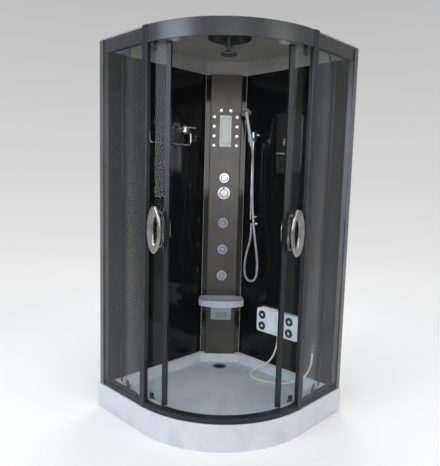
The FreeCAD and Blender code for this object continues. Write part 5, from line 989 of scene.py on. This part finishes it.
@dataclass
class Hoses:
    """The two free hoses, laid along the same points as the solids'."""

    shower_points: tuple[Point, ...] = (
        (333, 75, 1022), (333, 75, 980), (324, 76.5, 926), (306, 79, 866), (294.5, 81.5, 808), (291.5, 83.5, 756),
        (299, 85, 713), (318.5, 86.5, 685.5), (350, 88, 675.5), (381.5, 89, 685.5), (401, 90, 713),
        (408.5, 91, 757), (408, 92, 812), (398, 93, 878), (383, 94, 958), (368, 94.5, 1048), (357.5, 95, 1140),
        (351, 95, 1235), (347.5, 94.5, 1330), (345.5, 93, 1410), (343.8, 94, 1466), (343, 98.4, 1512.3),
        (343, 108.07, 1547.2),
    )
    shower_radius: float = 6.5
    shower_length: float = 1.284
    massager_points: tuple[Point, ...] = (
        (565, 50, 354), (565, 50, 322), (563, 57, 283), (556, 66, 242), (542, 76, 204), (520, 88, 173),
        (488, 98, 150), (456, 114, 126), (438, 142, 107), (446, 174, 101), (480, 196, 101.3), (524, 204, 101),
        (570, 198, 101.3), (613, 183, 101.6), (656, 163, 103), (700, 143, 108), (738, 123, 123), (772, 106, 143),
        (802, 91, 168), (820, 78, 203), (830, 67, 246), (832, 63, 286), (832, 63, 322),
    )
    massager_radius: float = 5.5
    massager_length: float = 0.911
    slack_height: float = 1.03
    held_height: float = 1.53
    order: int = 3
    span_steps: int = 8
    section_steps: int = 5

    def curve(self, shop: Workshop, name: str, points: tuple[Point, ...], radius: float,
              finish: str) -> bpy.types.Object:
        """Lay one hose as a smooth curve through its points.

        Args:
            shop: the workshop.
            name: the piece's name.
            points: place, distance from the wall and height of each point, mm.
            radius: the hose's radius, mm.
            finish: the finish's name.

        Returns:
            The curve's object.
        """
        curve = bpy.data.curves.new(name, "CURVE")
        curve.dimensions = "3D"
        curve.bevel_depth = radius * MM
        curve.bevel_resolution = self.section_steps
        curve.resolution_u = self.span_steps
        curve.use_fill_caps = True
        curve.materials.append(shop.materials[finish])
        spline = curve.splines.new("NURBS")
        spline.points.add(len(points) - 1)
        for target, (place, away, height) in zip(spline.points, points):
            target.co = (*by_corner(away, place, height), 1.0)
        spline.order_u = self.order
        spline.use_endpoint_u = True
        return show(name, curve)

    @staticmethod
    def tube(hose: bpy.types.Object) -> tuple[bpy.types.Object, list[Vector]]:
        """Turn a hose's curve into a mesh tube.

        Args:
            hose: the curve's object, which is removed.

        Returns:
            The tube's object, and the points that its middle follows.
        """
        name = hose.name
        tube = frozen(hose)
        hose.data.bevel_depth = 0.0
        hose.data.use_fill_caps = False
        bpy.context.view_layer.update()
        line = frozen(hose)
        path = [vertex.co.copy() for vertex in line.vertices]
        bpy.data.meshes.remove(line)
        bpy.data.objects.remove(hose)
        return show(name, tube), path

    def build(self, shop: Workshop) -> None:
        """Lay the shower hose as a mesh tube and the massager hose as a curve, in place of the solids' hoses.

        Args:
            shop: the workshop.
        """
        hose, path = self.tube(self.curve(shop, "shower_hose_line", self.shower_points, self.shower_radius,
                                          "hose_silver"))
        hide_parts("shower_hose")
        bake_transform(hose)
        hose = self.curve(shop, "massager_hose_line", self.massager_points, self.massager_radius, "hose_cream")
        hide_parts("massager_hose")
        shop.place(hose, "cabin", "cream_hose")


@dataclass
class TrayDetails:
    """The silicone bead between the tray and the walls."""

    bead_radius: float = 0.0028
    rim_height: float = 141.0
    corner_run: float = 221.0
    corner_gap: float = 3.0
    wall_end: float = 952.0

    def build(self, shop: Workshop) -> None:
        """Run the bead along both walls and the corner panel.

        Args:
            shop: the workshop.
        """
        run = self.corner_run + self.corner_gap
        path = [by_corner(away, place, self.rim_height) for away, place in (
            (self.wall_end, WALL_FACE), (run, WALL_FACE), (WALL_FACE, run), (WALL_FACE, self.wall_end))]
        bead = shop.bead("silicone_bead", [path], self.bead_radius, "silicone_white")
        shop.place(bead, "cabin", "white_acrylic")


@dataclass
class DisplayDetails:
    """The display's screen and the thin gasket round it."""

    border: float = 0.0105
    end: float = 0.0175
    recess: float = 0.0021
    thickness: float = 0.0006
    gasket_wire: float = 0.0008

    def build(self, shop: Workshop) -> None:
        """Set the screen in the bezel, with the dark gasket round it.

        Args:
            shop: the workshop.
        """
        low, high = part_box("display")
        left, right = low.x + self.border, high.x - self.border
        bottom, top = low.z + self.end, high.z - self.end
        front = [Vector((x, low.y + self.recess, z)) for x, z in (
            (left, bottom), (right, bottom), (right, top), (left, top))]
        back = [corner + Vector((0, self.thickness, 0)) for corner in front]
        faces = [(0, 1, 2, 3), (7, 6, 5, 4), (0, 4, 5, 1), (1, 5, 6, 2), (2, 6, 7, 3), (3, 7, 4, 0)]
        screen = shop.mesh("display_screen", front + back, faces, "screen_glass")
        shop.place(screen, "cabin", "display_plastic")
        gasket = shop.bead("display_gasket", [front], self.gasket_wire, "rubber_black", closed=True, sides=6)
        shop.place(gasket, "cabin", "black_rubber")


@dataclass
class ColumnDetails:
    """Chrome rings round the buttons and the mark of the function knob."""

    button_ring: float = 0.0108
    ring_points: int = 32
    ring_wire: float = 0.0011
    mark_start: float = 0.006
    mark_reach: float = 0.82
    mark_wire: float = 0.0009

    def build(self, shop: Workshop) -> None:
        """Ring every button, and mark the knob.

        Args:
            shop: the workshop.
        """
        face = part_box("column")[0].y
        rings = []
        for button in row("button", BUTTONS):
            low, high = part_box(button)
            middle = (low + high) / 2
            rings.append(ring(Vector((middle.x, face, middle.z)), self.button_ring, Vector((0, -1, 0)),
                              self.ring_points))
        piece = shop.bead("button_rings", rings, self.ring_wire, "chrome_plate", closed=True)
        shop.place(piece, "cabin", "chrome")
        low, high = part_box("diverter_knob")
        middle = (low + high) / 2
        top = middle.z + (high.z - middle.z) * self.mark_reach
        path = [Vector((middle.x, low.y, height)) for height in (middle.z + self.mark_start, top)]
        mark = shop.bead("diverter_mark", [path], self.mark_wire, "rubber_black", sides=6)
        shop.place(mark, "diverter_knob", "black_rubber")


@dataclass
class HandsetDetails:
    """The handset's spray face with its rubber nozzles and chrome rim."""

    pin: Point = (109.0, 343.0, 1588.0)
    into_cabin: float = -135.0
    tilt: float = 15.5
    stand: float = 14.0
    head_base: float = 190.0
    head_thickness: float = 16.0
    face_reach: float = 4 / 3
    head_face: float = 50.0
    nozzle: Point = (0.0013, 0.0008, 0.0022)
    pitch: float = 0.0068
    rings: int = 4
    rim_radius: float = 0.0305
    rim_points: int = 48
    rim_wire: float = 0.0011

    def face_placement(self) -> Matrix:
        """Return the placement of the spray face: its middle, with +Z out of it."""
        head = math.radians(self.head_face + 90)
        reach = self.head_thickness * self.face_reach
        local = Vector((self.stand - self.head_thickness / 2 + reach * math.sin(head), 0,
                        self.head_base + reach * math.cos(head)))
        tilt = Matrix.Rotation(math.radians(self.tilt), 4, "Y")
        corner = Matrix.Rotation(math.radians(self.into_cabin), 4, "Z")
        away, place, height = Vector(self.pin) + tilt @ local
        return Matrix.Translation(by_corner(away, place, height)) @ corner @ tilt @ Matrix.Rotation(head, 4, "Y")

    def build(self, shop: Workshop) -> None:
        """Stand the nozzles on the face, inside the rim.

        Args:
            shop: the workshop.
        """
        placement = self.face_placement()
        nozzles = shop.studs("handset_nozzles", ring_pattern(self.pitch, self.rings), self.nozzle,
                             "rubber_black", placement)
        shop.place(nozzles, "handset", "black_rubber")
        circle = [placement @ point for point in ring(ORIGIN, self.rim_radius, UP, self.rim_points)]
        rim = shop.bead("handset_rim", [circle], self.rim_wire, "chrome_plate", closed=True)
        shop.place(rim, "handset", "handset_chrome")


@dataclass
class TopShowerDetails:
    """The nozzles under the top shower's rose."""

    place: float = 558.0
    nozzle: Point = (0.0018, 0.001, 0.0026)
    pitch: float = 0.0105
    rings: int = 4

    def build(self, shop: Workshop) -> None:
        """Stand the nozzles, pointing down.

        Args:
            shop: the workshop.
        """
        middle = Vector((0, APEX_Y - self.place * MM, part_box("top_shower")[0].z))
        placement = Matrix.Translation(middle) @ Matrix.Rotation(math.pi, 4, "X")
        nozzles = shop.studs("top_shower_nozzles", ring_pattern(self.pitch, self.rings), self.nozzle,
                             "rubber_black", placement, seed=11)
        shop.place(nozzles, "top_shower", "black_rubber")


@dataclass
class RoofDetails:
    """The lamps' frosted lenses and the trim rings of the ceiling."""

    lamp_side: float = 305.0
    lamp_place: float = 665.0
    lens_radius: float = 0.027
    lens_drop: float = 0.004
    lens_rings: int = 6
    lens_sides: int = 36
    trim_gap: float = 0.0035
    trim_wire: float = 0.0016

    def lens(self, middle: Vector, first: int) -> tuple[list[Vector], list[Face]]:
        """Dome one lens.

        Args:
            middle: the middle of its flat back.
            first: the number of its first vertex.

        Returns:
            Its corners and faces.
        """
        corners: list[Vector] = []
        for step in range(self.lens_rings):
            angle = math.pi / 2 * step / self.lens_rings
            corners.extend(ring(middle - UP * self.lens_drop * math.sin(angle),
                                self.lens_radius * math.cos(angle), UP, self.lens_sides))
        pole = first + len(corners)
        corners += [middle - UP * self.lens_drop, middle]
        faces = bands(first, self.lens_sides, self.lens_rings)
        last = pole - self.lens_sides
        for side in range(self.lens_sides):
            after = (side + 1) % self.lens_sides
            faces += [(last + side, pole, last + after), (first + after, pole + 1, first + side)]
        return corners, faces

    def build(self, shop: Workshop) -> None:
        """Dome the lenses and set the trim rings.

        Args:
            shop: the workshop.
        """
        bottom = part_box("roof_lamps")[0].z
        corners: list[Vector] = []
        faces: list[Face] = []
        rims = []
        for side in SIDE_NAMES:
            middle = Vector((side * self.lamp_side * MM, APEX_Y - self.lamp_place * MM, bottom))
            more, joined = self.lens(middle, len(corners))
            corners += more
            faces += joined
            rims.append(ring(middle, self.lens_radius + self.trim_gap, UP))
        lenses = shop.mesh("lamp_lenses", corners, faces, "lamp_lens", smooth=True)
        shop.place(lenses, "cabin", "white_plastic")
        trims = shop.bead("lamp_trims", rims, self.trim_wire, "chrome_plate", closed=True)
        shop.place(trims, "cabin", "chrome")


@dataclass
class MassagerDetails:
    """The small knobs on the foot massager's rings."""

    depth: float = 34.0
    ring_proud: float = 4.0
    places: tuple[float, ...] = (446.0, 659.0)
    heights: tuple[float, ...] = (396.0, 469.0)
    knob: Point = (0.0026, 0.0016, 0.0022)
    knob_circle: float = 0.0188
    knobs: int = 14

    def build(self, shop: Workshop) -> None:
        """Stand a circle of knobs on each massage ring.

        Args:
            shop: the workshop.
        """
        face = WALL_FACE + self.depth + self.ring_proud
        origin = by_corner(face, 0.0, 0.0)
        out = (by_corner(face + 1, 0.0, 0.0) - origin).normalized()
        aside = (by_corner(face, 1.0, 0.0) - origin).normalized()
        turn = Matrix((aside, out.cross(aside), out)).transposed()
        rise = (turn.transposed() @ UP).y
        points = []
        for place in self.places:
            for height in self.heights:
                points.extend(ring(Vector((place * MM, height * MM * rise, 0)), self.knob_circle, UP, self.knobs))
        knobs = shop.studs("massager_knobs", points, self.knob, "rubber_black",
                           Matrix.Translation(origin) @ turn.to_4x4(), sides=10, seed=5)
        shop.place(knobs, "cabin", "black_rubber")


@dataclass
class Handles:
    """The doors' oval handles: smooth rounded loops with a finger opening, on both faces of the glass."""

    degrees: float = 37.61
    height: float = 1.080
    long: float = 0.120
    wide: float = 0.047
    hole_long: float = 0.066
    hole_wide: float = 0.015
    hole_shift: float = 0.012
    thickness: float = 0.015
    section_power: float = 0.8
    outer_glass: float = 0.551
    outer_loop: float = 0.5835
    inner_glass: float = 0.545
    inner_loop: float = 0.5125
    stud_lift: float = 0.084
    stud_radius: float = 0.008
    stud_sides: int = 20
    turns: int = 72
    rounds: int = 16

    def swell(self, share: float) -> float:
        """Return a sine or cosine, pushed out to make the section fuller than an ellipse."""
        return math.copysign(abs(share) ** self.section_power, share)

    def loop(self, middle: Vector, out: Vector, lead: Vector, first: int) -> tuple[list[Vector], list[Face]]:
        """Sweep the rounded section round the finger opening.

        Args:
            middle: the middle of the loop.
            out: the direction of its thickness.
            lead: the direction towards the lead edge.
            first: the number of its first vertex.

        Returns:
            Its corners and faces.
        """
        corners: list[Vector] = []
        for turn in range(self.turns):
            angle = math.tau * turn / self.turns
            outer = Vector((self.wide * math.cos(angle), self.long * math.sin(angle)))
            inner = Vector((self.hole_shift + self.hole_wide * math.cos(angle),
                            self.hole_long * math.sin(angle)))
            centre = (outer + inner) / 2
            half = (outer - inner) / 2
            for step in range(self.rounds):
                around = math.tau * step / self.rounds
                flat = centre + half * self.swell(math.cos(around))
                rise = self.thickness / 2 * self.swell(math.sin(around))
                corners.append(middle + lead * flat.x + UP * flat.y + out * rise)
        return corners, bands(first, self.rounds, self.turns, closed=True)

    def stud(self, start: Vector, end: Vector, first: int) -> tuple[list[Vector], list[Face]]:
        """Make one round stud between the glass and the loop.

        Args:
            start: its foot on the glass.
            end: its end in the loop.
            first: the number of its first vertex.

        Returns:
            Its corners and faces.
        """
        sides = self.stud_sides
        corners = [point for middle in (start, end) for point in ring(middle, self.stud_radius, end - start, sides)]
        faces = [face[::-1] for face in bands(first, sides, 2)]
        return corners, [tuple(reversed(range(first, first + sides))),
                         tuple(range(first + sides, first + 2 * sides)), *faces]

    def build(self, shop: Workshop) -> None:
        """Make the handle of each door and stand it for its solid.

        Args:
            shop: the workshop.
        """
        middle_line = Vector((0, ROUND_MIDDLE_Y, self.height))
        for side, name in SIDE_NAMES.items():
            out = round_out(side, self.degrees)
            lead = Vector((side * out.y, -side * out.x, 0))
            corners: list[Vector] = []
            faces: list[Face] = []
            for glass, plate in ((self.outer_glass, self.outer_loop), (self.inner_glass, self.inner_loop)):
                middle = middle_line + out * plate
                more, joined = self.loop(middle, out, lead, len(corners))
                corners += more
                faces += [face if side > 0 else face[::-1] for face in joined]
                for lift in (-self.stud_lift, self.stud_lift):
                    more, joined = self.stud(middle_line + out * glass + UP * lift, middle + UP * lift,
                                             len(corners))
                    corners += more
                    faces += joined
            piece = shop.mesh(f"door_handle_loop_{name}", corners, faces, "handle_chrome", smooth=True)
            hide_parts(f"door_handle_{name}")
            shop.place(piece, f"door_{name}", "chrome")


@dataclass
class DoorDetails:
    """The clear sweep under each door."""

    radius: float = 0.548
    half: float = 0.0035
    low: float = 0.168
    high: float = 0.181
    lead: float = 34.4
    trail: float = 69.5
    steps: int = 28

    def sweep(self, shop: Workshop, side: int, name: str) -> None:
        """Bend one sweep: a bar's outline carried along the door's round.

        Args:
            shop: the workshop.
            side: -1 for the left door, 1 for the right one.
            name: the side's name.
        """
        inner, outer = self.radius - self.half, self.radius + self.half
        outline = ((inner, self.low), (outer, self.low), (outer, self.high), (inner, self.high))
        corners: list[Vector] = []
        for step in range(self.steps + 1):
            out = round_out(side, self.lead + (self.trail - self.lead) * step / self.steps)
            corners.extend(Vector((0, ROUND_MIDDLE_Y, height)) + out * radius for radius, height in outline)
        last = len(corners) - len(outline)
        faces = [*bands(0, len(outline), self.steps + 1), (0, 1, 2, 3), (last + 3, last + 2, last + 1, last)]
        piece = shop.mesh(f"door_sweep_{name}", corners,
                          [face[::-1] if side > 0 else face for face in faces], "seal_clear")
        shop.place(piece, f"door_{name}", "black_rubber")

    def build(self, shop: Workshop) -> None:
        """Make both sweeps."""
        for side, name in SIDE_NAMES.items():
            self.sweep(shop, side, name)


def dress_solids(shop: Workshop) -> None:
    """Give every solid its finish.

    Args:
        shop: the workshop.
    """
    for finish, nodes in NODE_FINISHES.items():
        for node in nodes:
            shop.paint(node, finish)
        LOG.info("%s on %s", finish, ", ".join(nodes))


def main() -> None:
    """Load the frame, set the studio and dress the cabin."""
    logging.basicConfig(level=logging.INFO, format="%(message)s")
    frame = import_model()
    shop = Workshop(frame)
    Studio().build()
    Hoses().build(shop)
    dress_solids(shop)
    for part in (TrayDetails(), DisplayDetails(), ColumnDetails(), HandsetDetails(), TopShowerDetails(),
                 RoofDetails(), MassagerDetails(), Handles(), DoorDetails()):
        part.build(shop)
    LOG.info("%d pieces made", shop.made)


if __name__ == "__main__":
    main()
